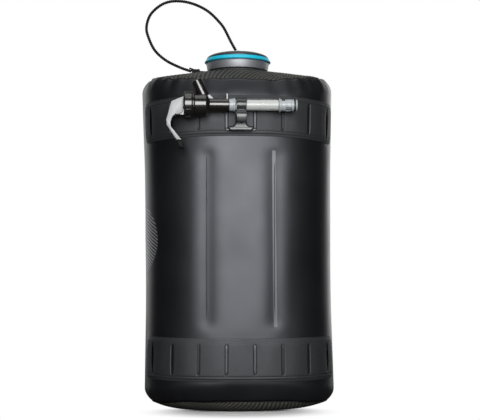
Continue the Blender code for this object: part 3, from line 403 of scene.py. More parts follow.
def swept(line, radius_at, points, twist=0.0):
    """A tube along a line, capped at both ends. radius_at gives the radius at an angle."""
    bm = bmesh.new()
    ring = bmesh.ops.create_circle(bm, segments=points, radius=1)["verts"]
    edges = list({e for v in ring for e in v.link_edges})
    side = Vector((0, 1, 0))
    run = 0.0
    for k, centre in enumerate(line):
        ahead = line[min(k + 1, len(line) - 1)] - line[max(k - 1, 0)]
        ahead.normalize()
        side = (side - ahead * side.dot(ahead)).normalized()
        up = ahead.cross(side)
        if k:
            run += (centre - line[k - 1]).length
            made = bmesh.ops.extrude_edge_only(bm, edges=edges)["geom"]
            edges = [g for g in made if isinstance(g, bmesh.types.BMEdge)]
            edges = [e for e in edges if e.is_boundary and all(v in made for v in e.verts)]
            ring = ring_order(edges, ring)
        for i, vert in enumerate(ring):
            turn = math.tau * i / points
            swing = turn + twist * run
            vert.co = centre + (side * math.cos(swing) + up * math.sin(swing)) * radius_at(turn)
    return filled(bm, bm.edges)


def ring_order(edges, before):
    """The new ring's points, each in the place of the point that it was extruded from."""
    fresh = {v for e in edges for v in e.verts}
    return [next(e.other_vert(v) for e in v.link_edges if e.other_vert(v) in fresh) for v in before]


def lobed(turn):
    """The radius of three round strands laid together."""
    strand = TETHER_RADIUS / (1 + 2 / math.sqrt(3))
    away = TETHER_RADIUS - strand
    near = (turn + math.pi / 3) % (math.tau / 3) - math.pi / 3
    inside = max(strand**2 - (away * math.sin(near)) ** 2, 0)
    return max(away * math.cos(near) + math.sqrt(inside), TETHER_RADIUS * 0.76)


rope = swept(tether_line, lobed, 24, math.tau / TETHER_LAY)
tether = place(rope, "tether_rope", dull_black, None, "black_rubber", ["tether"], sharp=75)
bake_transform(tether)

# %% [markdown]
# ## The bag's shape
#
# Standing full, the bag is an oblong tube: its section is a superellipse, which is an ellipse pushed
# towards a rectangle. It draws in a little at its waist and curls in at both seams. These few functions
# say where any point of the skin lies, and the wall, the panels and the bands all use them, so that they
# fit each other.

# %% The bag's section
HALF_WIDTH = 0.0985
HALF_DEPTH = 0.074
SECTION_POWER = 2.6
WAIST_IN = 0.0026
CURL_IN = 0.0075
CURL_HEIGHT = 0.013
TUCKS = ((0.0195, 1.35), (0.0205, 1.32))  # reach and power of the front's tuck, at the foot and at the top
TOP_SEAM_FRONT = 0.3326
TOP_SEAM_RISE = 0.0070
TOP_SEAM_SLUMP = 0.0018
BOTTOM_SEAM_FRONT = 0.0120
BOTTOM_SEAM_DROP = 0.0040
BAG_HEIGHT = 0.34
SWAY_FOOT, SWAY_TOP = 0.0018, 0.0010
FOOT_HALF = (0.058, 0.038)
DOME_POWER = 1.35
FOOT_POWER = 1.9
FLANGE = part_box("neck")
FLANGE_RADIUS = (FLANGE[1].x - FLANGE[0].x) / 2
GAP = 0.0003  # clearance between moulded pieces
SEAT_HEIGHT = FLANGE[0].z - GAP
WAVES = ((0.5, 7, 1.0), (0.3, 12, 2.1), (0.2, 19, 3.7))  # share, waves round the bag, and shift


def wave(angle, seed):
    """A few slow waves round the bag, for creases that don't repeat."""
    return sum(share * math.sin(turns * angle + shift * seed) for share, turns, shift in WAVES)


def top_seam(angle):
    """The seam rises towards the sides, less on the left, where the shoulder hangs lower."""
    slump = TOP_SEAM_SLUMP * max(0, -math.cos(angle)) ** 2
    ripple = 0.0009 * wave(angle, 1.0) + 0.0005 * math.sin(31 * angle + 0.6)
    return TOP_SEAM_FRONT + TOP_SEAM_RISE * math.cos(angle) ** 2 - slump + ripple


def bottom_seam(angle):
    return BOTTOM_SEAM_FRONT - BOTTOM_SEAM_DROP * math.cos(angle) ** 2 + 0.0005 * wave(angle, 4.0)


def section(angle, inset):
    c, s = math.cos(angle), math.sin(angle)
    power = 2 / SECTION_POWER
    x = math.copysign(abs(c) ** power, c) * (HALF_WIDTH - inset)
    y = math.copysign(abs(s) ** power, s) * (HALF_DEPTH - inset)
    return x, y


def inset_at(angle, z):
    low, high = bottom_seam(angle), top_seam(angle)
    waist = WAIST_IN * math.sin(math.pi * clamp((z - low) / (high - low)))
    at_top = high - z < z - low
    tuck, power = TUCKS[at_top]
    front = math.sin(angle) ** 2
    reach = CURL_HEIGHT + (tuck - CURL_HEIGHT) * front
    share = max(0, 1 - (high - z if at_top else z - low) / reach)
    return waist + CURL_IN * share ** (2 - (2 - power) * front)


def lean(y, z):
    """How far the sides have slumped to the right: most near the foot, and a touch the other way on top."""
    share = clamp(z / BAG_HEIGHT)
    sway = SWAY_FOOT * (1 - share) ** 2.5 - SWAY_TOP * share**3
    return sway * (1 - (y / HALF_DEPTH) ** 2)


def skin(angle, z, out=0.0):
    x, y = section(angle, inset_at(angle, z) - out)
    return Vector((x + lean(y, z), y, z))


# %% Even steps round the bag
FINE = 2880  # steps round the bag
edge_runs = runs_of([Vector(section(math.tau * i / FINE, 0)) for i in range(FINE + 1)])
GIRTH = edge_runs[-1]


def angle_round(share):
    """The angle at a share of the way round, by length along the skin, from +X by way of the back."""
    k, part = reached(edge_runs, GIRTH * clamp(share))
    return math.tau * (k - 1 + part) / FINE


print(f"the bag is {GIRTH * 1000:.0f} mm round")

# %% [markdown]
# ## Marks, painted shade and painted highlight on the film
#
# The wall's map is the flat film in metres, so a mark is placed on it as on a drawing. Shade and a
# highlight
# are painted along the weld lines: one weld line has a dark line of painted shade, the other a dark edge of
# painted shade and a pale strip of painted highlight that fades downwards. The left side has a round patch
# of plain stripes.


# %% Masks on the flat film
def film_math(operation, *parts):
    return add_node(film, "Math", *parts, operation=operation)


flat_film = add_node(film, "UVMap", uv_map="flat")


def turned_map(at, turn):
    """The flat film's map with its origin moved to a place and turned, as X and Y sockets."""
    moved_by = {"Location": (*at, 0), "Rotation": (0, 0, turn)}
    moved = add_node(film, "Mapping", flat_film, vector_type="TEXTURE", **moved_by)
    return add_node(film, "SeparateXYZ", moved).node.outputs[:2]


def laid_over(mask, colour):
    """Puts a colour over the film's own where the mask is 1."""
    base = shader_of(film).inputs["Base Color"]
    feed(film, base, add_node(film, "MixRGB", mask, base.links[0].from_socket, (*colour, 1)))


# %% The patch of stripes on the left side
PATCH_AT = (GIRTH / 2 + 0.019, 0.161)
PATCH_RADIUS = 0.0322
STRIPE_PITCH = 0.0031
STRIPE_SHARE = 0.34
STRIPE_SLANT = math.radians(-24)
STRIPE_COLOUR = (0.25, 0.25, 0.26)
slant_x, slant_y = turned_map(PATCH_AT, STRIPE_SLANT)
square = film_math("ADD", *(film_math("MULTIPLY", v, v) for v in (slant_x, slant_y)))
in_patch = film_math("LESS_THAN", square, PATCH_RADIUS**2)
steps_up = film_math("FRACT", film_math("DIVIDE", slant_y, STRIPE_PITCH))
on_stripe = film_math("LESS_THAN", steps_up, STRIPE_SHARE)
laid_over(film_math("MULTIPLY", in_patch, on_stripe), STRIPE_COLOUR)

# %% The weld lines' painted shade and painted highlight
# The dark strips are painted shade in the creases beside the welds, and the pale strip is a painted
# highlight on the right weld's bead.
WELD_SHADE_AND_HIGHLIGHT = (  # edge, width and colour of each strip, from the middle of the front
    (-0.0340, 0.0008, (0.002, 0.002, 0.002)), (0.0328, 0.0006, (0.004, 0.004, 0.004)),
    (0.0330, 0.0036, (0.165, 0.166, 0.172)),
)
WELD_SPAN = (0.0740, 0.2490)
WELD_LEAN = 0.0105
front_x, up_y = turned_map((GIRTH * 0.75, sum(WELD_SPAN) / 2), WELD_LEAN)
tall = film_math("ABSOLUTE", up_y)
in_span = film_math("LESS_THAN", tall, (WELD_SPAN[1] - WELD_SPAN[0]) / 2)
# The painted highlight is palest, and the painted shade darkest, at the top.
painted_light_fade = film_math("ADD", film_math("MULTIPLY", up_y, 2.6), 0.68)  # the strips are palest at the top
in_span = film_math("MULTIPLY", in_span, painted_light_fade)
for edge, width, colour in WELD_SHADE_AND_HIGHLIGHT:
    away = film_math("ABSOLUTE", film_math("SUBTRACT", front_x, edge + width / 2))
    laid_over(film_math("MULTIPLY", in_span, film_math("LESS_THAN", away, width / 2)), colour)


# %% [markdown]
# ## The wall
#
# The wall is one sheet of film, welded into a tube. Inside, two webs tie the front to the back, and the
# long weld lines on the front show where they pull the skin in. A flat grid is bent round the section,
# and its points carry the relief: the valley and bead of each weld, and the puckers that run out from the
# seams. Solidify gives it the film's thickness.

# %% A grid bent into a surface
BAFFLE_X = 0.0337
BAFFLE_LOW, BAFFLE_HIGH = (corner.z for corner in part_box("left_baffle"))
WALL_THICKNESS = 0.0008
WELD_SHIFT = 0.0006
VALLEY_DEPTH, VALLEY_REACH = 0.0012, 0.017
BEAD_HEIGHT, BEAD_WIDTH, BEAD_REACH = 0.00025, 0.0016, 0.004
PUCKER, SLOW_FOLD = 0.0006, 0.0005  # heights of the folds
PUCKER_UP, PUCKER_DOWN = 0.011, 0.012  # how far they run from the top seam and from the bottom one


def bent_grid(columns, rows, place_at, uv_at=None, weld=True):
    """A flat grid whose points are placed by place_at(u, v), both from 0 to 1."""
    bm = bmesh.new()
    sheet_map = bm.loops.layers.uv.new("flat")
    bmesh.ops.create_grid(bm, x_segments=columns, y_segments=rows, size=0.5)
    shares = {v: (v.co.x + 0.5, v.co.y + 0.5) for v in bm.verts}
    for face in bm.faces:
        for loop in face.loops:
            u, v = shares[loop.vert]
            loop[sheet_map].uv = uv_at(u, v) if uv_at else (u, v)
    for vert, (u, v) in shares.items():
        vert.co = place_at(u, v)
    if weld:
        bmesh.ops.remove_doubles(bm, verts=bm.verts, dist=WELD)
        outward(bm)
    return bm


def weld_relief(x, z):
    """How far the skin is drawn in beside a web's weld, with the flat bead of the weld itself."""
    away = abs(x - WELD_SHIFT) - BAFFLE_X
    ends = min(z - BAFFLE_LOW, BAFFLE_HIGH - z)
    fade = step((ends + 0.005) / 0.013)
    valley = VALLEY_DEPTH * max(0, 1 - abs(away) / VALLEY_REACH) ** 2
    bead = BEAD_HEIGHT * bell(away, BEAD_WIDTH) ** 0.5 if abs(away) < BEAD_REACH else 0
    return fade * (valley - bead)


def pucker(angle, z):
    """Shallow folds that run out from the two seams and die away."""
    up = bell(top_seam(angle) - z, PUCKER_UP) * wave(1.7 * angle, 2.0)
    down = bell(z - bottom_seam(angle), PUCKER_DOWN) * wave(1.9 * angle, 5.0)
    slow = noise.noise(Vector((math.cos(angle) * 2.2, math.sin(angle) * 2.2, z * 14)))
    return PUCKER * up + PUCKER * down + SLOW_FOLD * slow


def rim_distance(d, h, half_length, half_height, corner):
    """How far a place on a band is from its outline, which has rounded corners."""
    dx = half_length - abs(d)
    dy = half_height - abs(h)
    if dx < corner and dy < corner:
        return corner - math.hypot(corner - dx, corner - dy)
    return min(dx, dy)


UPPER = (0.2952, 0.0404, 0.0046)  # middle height, height, and how far the ends droop
LOWER = (0.0535, 0.0430, -0.0012)
SLIT_PITCH = 0.0282
SLITS = 8
BAND_END = 0.0150
BAND_CORNER = 0.0085
BAND_LIFT = 0.0009
BAND_HALF_LENGTH = SLIT_PITCH * (SLITS - 1) / 2 + BAND_END


def under_band(u, angle, z):
    """How far the film swells out behind a band, to fill its middle slits, and how smooth it lies there."""
    d = GIRTH * ((u % 0.5) - 0.25)
    swell = calm = 0
    for middle_z, height, droop in (UPPER, LOWER):
        h = z - middle_z + droop * math.cos(angle) ** 2
        edge = rim_distance(d, h, BAND_HALF_LENGTH, height / 2, BAND_CORNER)
        middle = step((edge - 0.004) / 0.004) * step((0.062 - abs(d)) / 0.008)
        swell += (BAND_LIFT - 0.00005) * middle
        calm += step((edge + 0.006) / 0.006)
    return swell, calm


def wall_place(u, v):
    angle = angle_round(u % 1)
    low, high = bottom_seam(angle), top_seam(angle)
    z = low + (high - low) * v
    at = skin(angle, z)
    draw = weld_relief(at.x, z) if abs(at.y) > HALF_DEPTH / 2 else 0
    swell, calm = under_band(u % 1, angle, z)
    return skin(angle, z, pucker(angle, z) * (1 - calm) + swell - draw)


WALL_COLUMNS, WALL_ROWS = 264, 120
WALL_HEIGHT = TOP_SEAM_FRONT - BOTTOM_SEAM_FRONT
flat_wall = lambda u, v: (u * GIRTH, v * WALL_HEIGHT)
wall_mesh = bent_grid(WALL_COLUMNS, WALL_ROWS, wall_place, flat_wall)
wall = place(wall_mesh, "film_wall", film, None, "bag_film", ["side_wall"], sharp=60)


# %% Give the film its thickness
def thicken(piece, thickness, offset=-1.0):
    layer = piece.modifiers.new("thickness", "SOLIDIFY")
    layer.thickness = thickness
    layer.offset = offset
    layer.use_even_offset = False


thicken(wall, WALL_THICKNESS)
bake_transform(wall)

# %% [markdown]
# ## The ribbed top and bottom
#
# Both ends are a stiffer ribbed fabric. The top domes up to the neck's seat and the bottom curves down to
# a flat foot. They are grids too, from the seam inwards. The ribs run slantwise over the flat cloth. They
# are raised in the mesh, and the finish reads the same map of the flat cloth to colour them: darker in the
# grooves as painted shade, lighter on the crests as painted light.


# %% The top and the bottom
def panel_place(u, v, seam, end, end_z, power, out):
    angle = angle_round(u % 1)
    x, y = section(angle, CURL_IN)
    turn = math.atan2(*section(angle, 0)[::-1])
    ex, ey = end(angle, turn)
    seam_z = seam(angle)
    ease = 1 - (1 - v) ** power
    z = seam_z + (end_z - seam_z) * ease
    fold = out * bell(v - 0.12, 0.10) * wave(2.3 * angle, 3.0)
    return Vector((x + (ex - x) * v + lean(y, z) * (1 - v), y + (ey - y) * v, z + fold))


def panel_map(place_at):
    """A flat map of a panel: how far a point is from the seam along the cloth, on its own bearing."""

    def flat(u, v):
        at = place_at(u, v)
        rim = place_at(u, 0)
        drop = at.z - rim.z
        bearing = Vector((rim.x, rim.y, 0)).normalized()
        return (at.x - bearing.x * abs(drop), math.copysign(1, drop) * (at.y - bearing.y * abs(drop)))

    return flat


def top_place(u, v):
    rim = lambda angle, turn: (FLANGE_RADIUS * math.cos(turn), FLANGE_RADIUS * math.sin(turn))
    return panel_place(u, v, top_seam, rim, SEAT_HEIGHT, DOME_POWER, 0.0008)


def bottom_place(u, v):
    foot = lambda angle, turn: (FOOT_HALF[0] * math.cos(angle), FOOT_HALF[1] * math.sin(angle))
    return panel_place(u, v, bottom_seam, foot, 0, FOOT_POWER, 0.0004)


def with_ribs(place_at):
    """The same panel with its ribs raised, at the same places as in the finish."""
    flat = panel_map(place_at)

    def ribbed_place(u, v):
        x, y = flat(u, v)
        across = math.cos(RIB_TURN) * x - math.sin(RIB_TURN) * y
        height = RIB_HEIGHT * (0.5 - 0.5 * math.cos(math.tau * across / RIB_PITCH))
        ends = step(v / 0.08) * step((1 - v) / 0.08)
        return place_at(u, v) + Vector((0, 0, height * ends))

    return ribbed_place


RIB_HEIGHT = 0.0003
PANEL_COLUMNS, TOP_ROWS, BOTTOM_ROWS = 560, 54, 40
PANEL_THICKNESS = 0.0012
top_mesh = bent_grid(PANEL_COLUMNS, TOP_ROWS, with_ribs(top_place), panel_map(top_place))
top_cloth = place(top_mesh, "ribbed_top", ribbed, "top", "ribbed_film", ["top_panel"], sharp=60)
thicken(top_cloth, PANEL_THICKNESS)

FOOT_EDGE = 0.004  # the foot's rim lies lower than this
bottom_mesh = bent_grid(PANEL_COLUMNS, BOTTOM_ROWS, with_ribs(bottom_place), panel_map(bottom_place))
filled(bottom_mesh, [e for e in bottom_mesh.edges if max(v.co.z for v in e.verts) < FOOT_EDGE])
# The bottom wears the copy of the ribbed fabric that has the floor's light painted in.
bottom_cloth = place(
    bottom_mesh, "ribbed_bottom", ribbed_floor_lit, "base", "ribbed_film", ["bottom_panel"], sharp=60
)
print("ribs", RIB_HEIGHT * 1000, "mm high")

# %% [markdown]
# ## The bands
#
# Four strips are welded round the bag, two in front and two behind. Each has eight upright slits for
# hanging gear on, and is pressed down along its rim, which leaves a fine double line a few millimetres
# in. The film swells a little between slits. Each strip is a grid with columns set close beside the
# slits; the faces inside the slits are deleted.

# %% Distances along a band
SLIT_WIDTH = 0.0018
SLIT_HEIGHT = 0.0297
BAND_THICKNESS = 0.0004
FRONT_STEPS = 360  # from the middle of the front to its side
PARTS = 16  # of a slit's height, and of the film between two slits
BAND_EASE = 0.0045  # the rim rises over this length
BAND_SWELL = 0.0004
GAPE = 0.0019
RIM_LINES = ((0.0047, 0.00038, 0.00034), (0.0019, 0.00032, 0.00016))  # inset, width and depth
RIM_STEPS = (0, 0.0005, 0.0011, 0.0015, 0.0019, 0.0023, 0.0029, 0.0037, 0.0043, 0.0047, 0.0051)


def front_angle(steps):
    """The angle that many steps round from the middle of the front."""
    return -math.pi / 2 + math.pi * steps / (2 * FRONT_STEPS)


def angle_along(runs, distance):
    """The angle at a distance along the front from its middle."""
    k, share = reached(runs, abs(distance))
    found = front_angle(k - 1 + share)
    return found if distance >= 0 else -math.pi - found


def band_columns():
    """Distances of the columns, and which of them stand at the left edge of a slit."""
    first = -SLIT_PITCH * (SLITS - 1) / 2
    columns = [first - SLIT_WIDTH / 2 - BAND_END]
    slit_columns = []
    for inset in (*RIM_STEPS[1:], 0.0058, 0.0068, 0.0080, 0.0092, 0.0104, 0.0117, 0.0130, 0.0142):
        columns.append(columns[0] + inset)
    for i in range(SLITS):
        middle = first + SLIT_PITCH * i
        slit_columns.append(len(columns))
        columns += [middle - SLIT_WIDTH / 2, middle + SLIT_WIDTH / 2]
        if i < SLITS - 1:
            span = SLIT_PITCH - SLIT_WIDTH
            columns += [columns[-1] + span * share / PARTS for share in range(1, PARTS)]
    mirrored = [-c for c in columns[: slit_columns[0]][::-1]]
    return columns + mirrored, slit_columns


def band_rows(height):
    """Heights of the rows, closer beside the rim's two lines, with the slits' ends among them."""
    half = height / 2
    slit = SLIT_HEIGHT / 2
    low = [-half + inset for inset in RIM_STEPS if inset < half - slit - 0.0001]
    inner = [-slit + SLIT_HEIGHT * share / PARTS for share in range(PARTS + 1)]
    return low + inner + [-z for z in low[::-1]]


# %% The relief of a band
def band_relief(d, h, half_length, half_height, upper_lines):
    edge = rim_distance(d, h, half_length, half_height, BAND_CORNER)
    lift = BAND_LIFT * step(edge / BAND_EASE)
    lines = sum(-depth * bell(edge - inset, width) for inset, width, depth in RIM_LINES)
    lines *= upper_lines if h > 0 else 1
    nearest = abs((d / SLIT_PITCH) % 1 - 0.5) * 2
    swell = BAND_SWELL * math.sin(math.pi / 2 * nearest) ** 2 * max(0, 1 - (h / half_height) ** 2)
    inside = abs(d) < SLIT_PITCH * (SLITS - 1) / 2
    return lift + lines + (swell if inside else 0)


def slit_spread(d, h, columns, slit_columns):
    """The outer slits gape where the bag turns away, which moves the edge beside them."""
    for k in slit_columns:
        middle = (columns[k] + columns[k + 1]) / 2
        off = d - middle
        if abs(off) < SLIT_PITCH / 2:
            gape = GAPE * max(0, (abs(middle) / (SLIT_PITCH * 3.5)) ** 6)
            lens = max(0, 1 - (2 * h / SLIT_HEIGHT) ** 2)
            push = gape * lens * max(0, 1 - abs(off) / (SLIT_PITCH / 2))
            return math.copysign(push, off)
    return 0.0


# %% Make the four bands
def make_band(name, node, body, side, middle_z, height, droop, upper_lines=1):
    columns, slit_columns = band_columns()
    rows = band_rows(height)
    half_length = columns[-1]
    out = BAND_LIFT + BAND_THICKNESS
    runs = runs_of([skin(front_angle(i), middle_z, out) for i in range(FRONT_STEPS + 1)])

    def at(u, v):
        d = columns[round(u * (len(columns) - 1))]
        h = rows[round(v * (len(rows) - 1))]
        corner = BAND_CORNER - min(BAND_CORNER, half_length - abs(d))
        trim = BAND_CORNER - math.sqrt(max(BAND_CORNER**2 - corner**2, 0))
        h = math.copysign(min(abs(h), height / 2 - trim), h)
        relief = band_relief(d, h, half_length, height / 2, upper_lines)
        angle = side * angle_along(runs, d + slit_spread(d, h, columns, slit_columns))
        z = middle_z + h - droop * math.cos(angle) ** 2
        return skin(angle, z, BAND_THICKNESS + relief)

    bm = bent_grid(len(columns) - 1, len(rows) - 1, at, weld=False)
    gone = []
    spare = (len(rows) - PARTS) // 2
    for face in bm.faces:
        us = [loop[bm.loops.layers.uv.active].uv for loop in face.loops]
        column = round(min(uv.x for uv in us) * (len(columns) - 1))
        row = round(min(uv.y for uv in us) * (len(rows) - 1))
        if column in slit_columns and spare <= row < len(rows) - 1 - spare:
            gone.append(face)
    bmesh.ops.delete(bm, geom=gone, context="FACES")
    bmesh.ops.remove_doubles(bm, verts=bm.verts, dist=WELD)
    if side < 0:
        bmesh.ops.reverse_faces(bm, faces=bm.faces)
    made = place(bm, name, band_film, body, "band_film", [node], sharp=60)
    thicken(made, BAND_THICKNESS)


make_band("upper_front_strip", "upper_front_band", "top", 1, *UPPER)
make_band("upper_rear_strip", "upper_rear_band", "top", -1, *UPPER)
make_band("lower_front_strip", "lower_front_band", "base", 1, *LOWER, 0.3)
make_band("lower_rear_strip", "lower_rear_band", "base", -1, *LOWER, 0.3)


# %% [markdown]
# ## The webs inside
#
# Two webs of the same film run from the front wall to the back wall, under the weld lines. They can only
# be seen through the neck.


# %% Make the webs
def make_web(name, node):
    low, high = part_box(node)
    x = (low.x + high.x) / 2

    def at(u, v):
        z = low.z + (high.z - low.z) * v
        return Vector((x, low.y + (high.y - low.y) * u, z))

    made = place(bent_grid(20, 40, at, weld=False), name, film, None, "bag_film", [node])
    thicken(made, high.x - low.x, 0)
    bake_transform(made)


make_web("left_web", "left_baffle")
make_web("right_web", "right_baffle")

# %% [markdown]
# ## The cap and its parts
#
# The cap is built up as it is moulded: a grey metal-look skirt, a blue grip ring round it and a dark dome
# over it. Each is a profile turned about the neck's axis, with its corners softened.

# %% Read the cap's sizes from the frame
shell_low, shell_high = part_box("cap_shell")
ring_low, ring_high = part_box("cap_ring")
cover_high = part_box("cap_cover")[1]
SKIRT_RADIUS = 0.0314
SKIRT_BORE = 0.0278
PLATE = 0.0012

# %% The skirt
skirt_top = ring_low.z - GAP
skirt_profile = [
    (0, shell_high.z), (SKIRT_RADIUS, shell_high.z), (SKIRT_RADIUS, skirt_top),
    (shell_high.x, skirt_top), (SKIRT_RADIUS + 0.0006, shell_low.z + 0.0035),
    (SKIRT_RADIUS, shell_low.z), (SKIRT_BORE, shell_low.z), (SKIRT_BORE, shell_high.z - PLATE),
    (0, shell_high.z - PLATE),
]
round_piece("cap_skirt", skirt_profile, 128, EDGE, cap_grey, "cap", "cap_grey", ["cap_shell"])

# %% The blue ring
ring_out = ring_high.x
ring_edge = ring_high.z + 0.0002
ring_profile = [
    (SKIRT_RADIUS + GAP, ring_edge), (SKIRT_RADIUS + GAP, ring_low.z + 0.0004),
    (ring_out - 0.0008, ring_low.z + 0.0008), (ring_out, ring_low.z + 0.0012),
    (ring_out, ring_low.z + 0.0016), (ring_out - 0.0020, ring_edge - 0.0002),
    (ring_out - 0.0024, ring_edge),
]
round_piece("cap_grip", ring_profile, 128, 0.0004, cap_blue, "cap", "cap_blue", ["cap_ring"])

# %% The dome
DOME_FLAT = 0.0140
DOME_TOP = cover_high.z - 0.0008
DOME_EDGE = ring_out - 0.0023
DOME_FOOT = ring_edge + 0.0006
DOME_STEPS = 12
dome_profile = [(0, DOME_TOP)]
for i in range(DOME_STEPS + 1):
    turn = math.pi / 2 * (1 - i / DOME_STEPS)
    radius = DOME_FLAT + (DOME_EDGE - DOME_FLAT) * math.cos(turn)
    dome_profile.append((radius, DOME_FOOT + (DOME_TOP - DOME_FOOT) * math.sin(turn) ** 1.25))
dome_profile += [
    (DOME_EDGE, ring_edge + 0.0002), (SKIRT_RADIUS + GAP, ring_edge + 0.0002),
    (SKIRT_RADIUS + GAP, shell_high.z + GAP), (0, shell_high.z + GAP),
]
round_piece("cap_dome", dome_profile, 128, EDGE, cap_dark, "cap", "cap_cover_dark", ["cap_cover"])

# %% The turning button
button_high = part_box("tether_swivel")[1]
BOSS_RADIUS = 0.0036
button_profile = [
    (0, BUTTON_TOP), (BOSS_RADIUS * 0.90, BUTTON_TOP), (BOSS_RADIUS, DOME_TOP + 0.0016),
    (button_high.x, DOME_TOP + 0.0012), (button_high.x, DOME_TOP + GAP), (0, DOME_TOP + GAP),
]
button_look = (black_plastic, "cap_swivel", "black_plastic", ["tether_swivel"])
button_piece = round_piece("tether_button", button_profile, 48, 0.0004, *button_look)

# %% [markdown]
# ## The neck and the ferrule
#
# The neck carries the screw thread, which shows when the cap is lifted off. The thread is a helix: one
# small triangle that is turned and lifted at the same time. The ferrule is a crimped sleeve at the rope's
# lower end, against the lug of the ring round the neck.

# %% The neck and its thread
neck_low, neck_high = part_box("neck")
NECK_RADIUS = 0.0270
MOUTH_RADIUS = 0.0240
FLANGE_TOP = neck_low.z + 0.0013
neck_profile = [
    (NECK_RADIUS, neck_high.z), (NECK_RADIUS, FLANGE_TOP), (FLANGE_RADIUS, FLANGE_TOP),
    (FLANGE_RADIUS, neck_low.z), (MOUTH_RADIUS, neck_low.z), (MOUTH_RADIUS, neck_high.z),
]
round_piece("threaded_neck", neck_profile, 128, EDGE, rubber, "top", "black_plastic", ["neck"])

THREAD_PITCH = 0.0040
THREAD_TURNS = 1.6
THREAD_STEPS = 160
THREAD_START = neck_low.z + 0.0042
THREAD_ROOT = NECK_RADIUS - 0.0003
TOOTH = ((THREAD_ROOT, -0.0010), (NECK_RADIUS + 0.0006, 0.0), (THREAD_ROOT, 0.0010))
thread = bmesh.new()
tooth = [thread.verts.new((radius, 0, THREAD_START + rise)) for radius, rise in TOOTH]
face = thread.faces.new(tooth)
thread_turn, thread_rise = math.tau * THREAD_TURNS, THREAD_PITCH * THREAD_TURNS
spun(thread, [*tooth, *face.edges, face], thread_turn, THREAD_STEPS, thread_rise)
place(thread, "neck_thread", black_plastic, "top", "black_plastic")

# %% The ring round the neck, set back under the skirt, and its lug
RING_SHOWN = 0.0302
neck_ring = cad_mesh("tether_ring")
for vert in neck_ring.verts:
    reach = math.hypot(vert.co.x, vert.co.y)
    if reach > RING_SHOWN and not (vert.co.x < 0 and abs(vert.co.y) < 0.006):
        vert.co.xy *= RING_SHOWN / reach
place(neck_ring, "neck_ring", dull_black, "top", "black_plastic", ["tether_ring"])


# %% The ferrule and its turned-up tail
def laid(bm, matrix):
    bmesh.ops.transform(bm, matrix=matrix, verts=bm.verts)
    return bm


ferrule_low, ferrule_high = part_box("tether_ferrule")
ferrule_radius = (ferrule_high.z - ferrule_low.z) / 2
ferrule_middle = (ferrule_low + ferrule_high) / 2
ferrule_length = ferrule_high.x - ferrule_low.x
CRIMP = 0.06  # half of a groove, as a share of the length
ends = ((0, 0), (ferrule_radius * 0.85, 0), (ferrule_radius, 0.0006))
ferrule_profile = [*ends]
for groove in (0.35, 0.60):
    for radius, along in ((1, groove - CRIMP), (0.84, groove), (1, groove + CRIMP)):
        ferrule_profile.append((ferrule_radius * radius, ferrule_length * along))
ferrule_profile += [(radius, ferrule_length - inset) for radius, inset in ends[::-1]]
sleeve = turned(ferrule_profile, 40)
lying = Matrix.Rotation(math.pi / 2, 4, "Y")  # lays Z along X
start = (ferrule_low.x, ferrule_middle.y, ferrule_middle.z)
laid(sleeve, Matrix.Translation(start) @ lying)
soften(sleeve, FINE_EDGE, 2)
TAILS = (  # the tail that turns up, and the flat end that runs on to the cap: two ends and a radius
    (Vector((-0.0440, -0.0052, 0.3506)), Vector((-0.0504, -0.0050, 0.3530)), 0.0009),
    (Vector((-0.0440, -0.0044, 0.3499)), Vector((-0.0328, -0.0040, 0.3492)), 0.0008),
)
for start, end, radius in TAILS:
    line = [start.lerp(end, share / 8) for share in range(9)]
    added(sleeve, swept(line, lambda turn: radius, 16))
ferrule = place(sleeve, "tether_sleeve", dull_black, "top", "black_plastic", ["tether_ferrule"])

# %% [markdown]
# ## The tap's line
#
# The hose, its fittings and the tap all lie on one line, just in front of the upper band. Their profiles
# are turned about Z with places along the line as heights, and then laid down along X. Small parts that
# stick out, such as the spout, are shells of their own, joined into the same piece.

# %% Helpers for the line
hose_low, hose_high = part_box("hose")
AXIS_Y = (hose_low.y + hose_high.y) / 2
AXIS_Z = (hose_low.z + hose_high.z) / 2
LINE = Matrix.Translation((0, AXIS_Y, AXIS_Z)) @ lying


def along_line(bm):
    return laid(bm, LINE)


def arc(middle, radius, start, end, steps=4):
    """Points round a corner, with the angles in degrees."""
    turns = [math.radians(start + (end - start) * i / steps) for i in range(steps + 1)]
    return [(middle[0] + radius * math.cos(t), middle[1] + radius * math.sin(t)) for t in turns]


def sector(profile, start, end, steps):
    """A closed profile of (radius, height) turned part of the way round, with both ends capped."""
    bm = bmesh.new()
    first = [bm.verts.new((r * math.cos(start), r * math.sin(start), h)) for r, h in profile]
    face = bm.faces.new(first)
    return spun(bm, [*first, *face.edges, face], end - start, steps)


def slab(outline, half, matrix, hole=None):
    """A flat outline in XY, twice half deep along Z. A hole is a loop with as many points."""
    bm = bmesh.new()
    low = [bm.verts.new((x, y, -half)) for x, y in outline]
    if hole:
        inner = [bm.verts.new((x, y, -half)) for x, y in hole]
        sides = zip(low, low[1:] + low[:1], inner[1:] + inner[:1], inner)
        faces = [bm.faces.new(side) for side in sides]
    else:
        faces = [bm.faces.new(low)]
    made = bmesh.ops.extrude_face_region(bm, geom=faces)["geom"]
    raised = [g for g in made if isinstance(g, bmesh.types.BMVert)]
    bmesh.ops.translate(bm, verts=raised, vec=(0, 0, 2 * half))
    return laid(outward(bm), matrix)


def outlines(count, reach_at, hole):
    """An outline that reaches out by reach_at(c, s) in each direction, and a round hole in it."""
    ways = [(math.cos(math.tau * i / count), math.sin(math.tau * i / count)) for i in range(count)]
    outer = [(reach_at(c, s) * c, reach_at(c, s) * s) for c, s in ways]
    return outer, [(hole * c, hole * s) for c, s in ways]


def eased(bm, width, segments=2):
    """Merges a mesh's flat faces and softens its sharp edges."""
    bmesh.ops.remove_doubles(bm, verts=bm.verts, dist=WELD)
    bmesh.ops.dissolve_limit(bm, angle_limit=math.radians(2), verts=bm.verts, edges=bm.edges)
    return soften(bm, width, segments)


def copied(node, width):
    """The frame's own mesh of a node, eased."""
    return eased(cad_mesh(node), width)


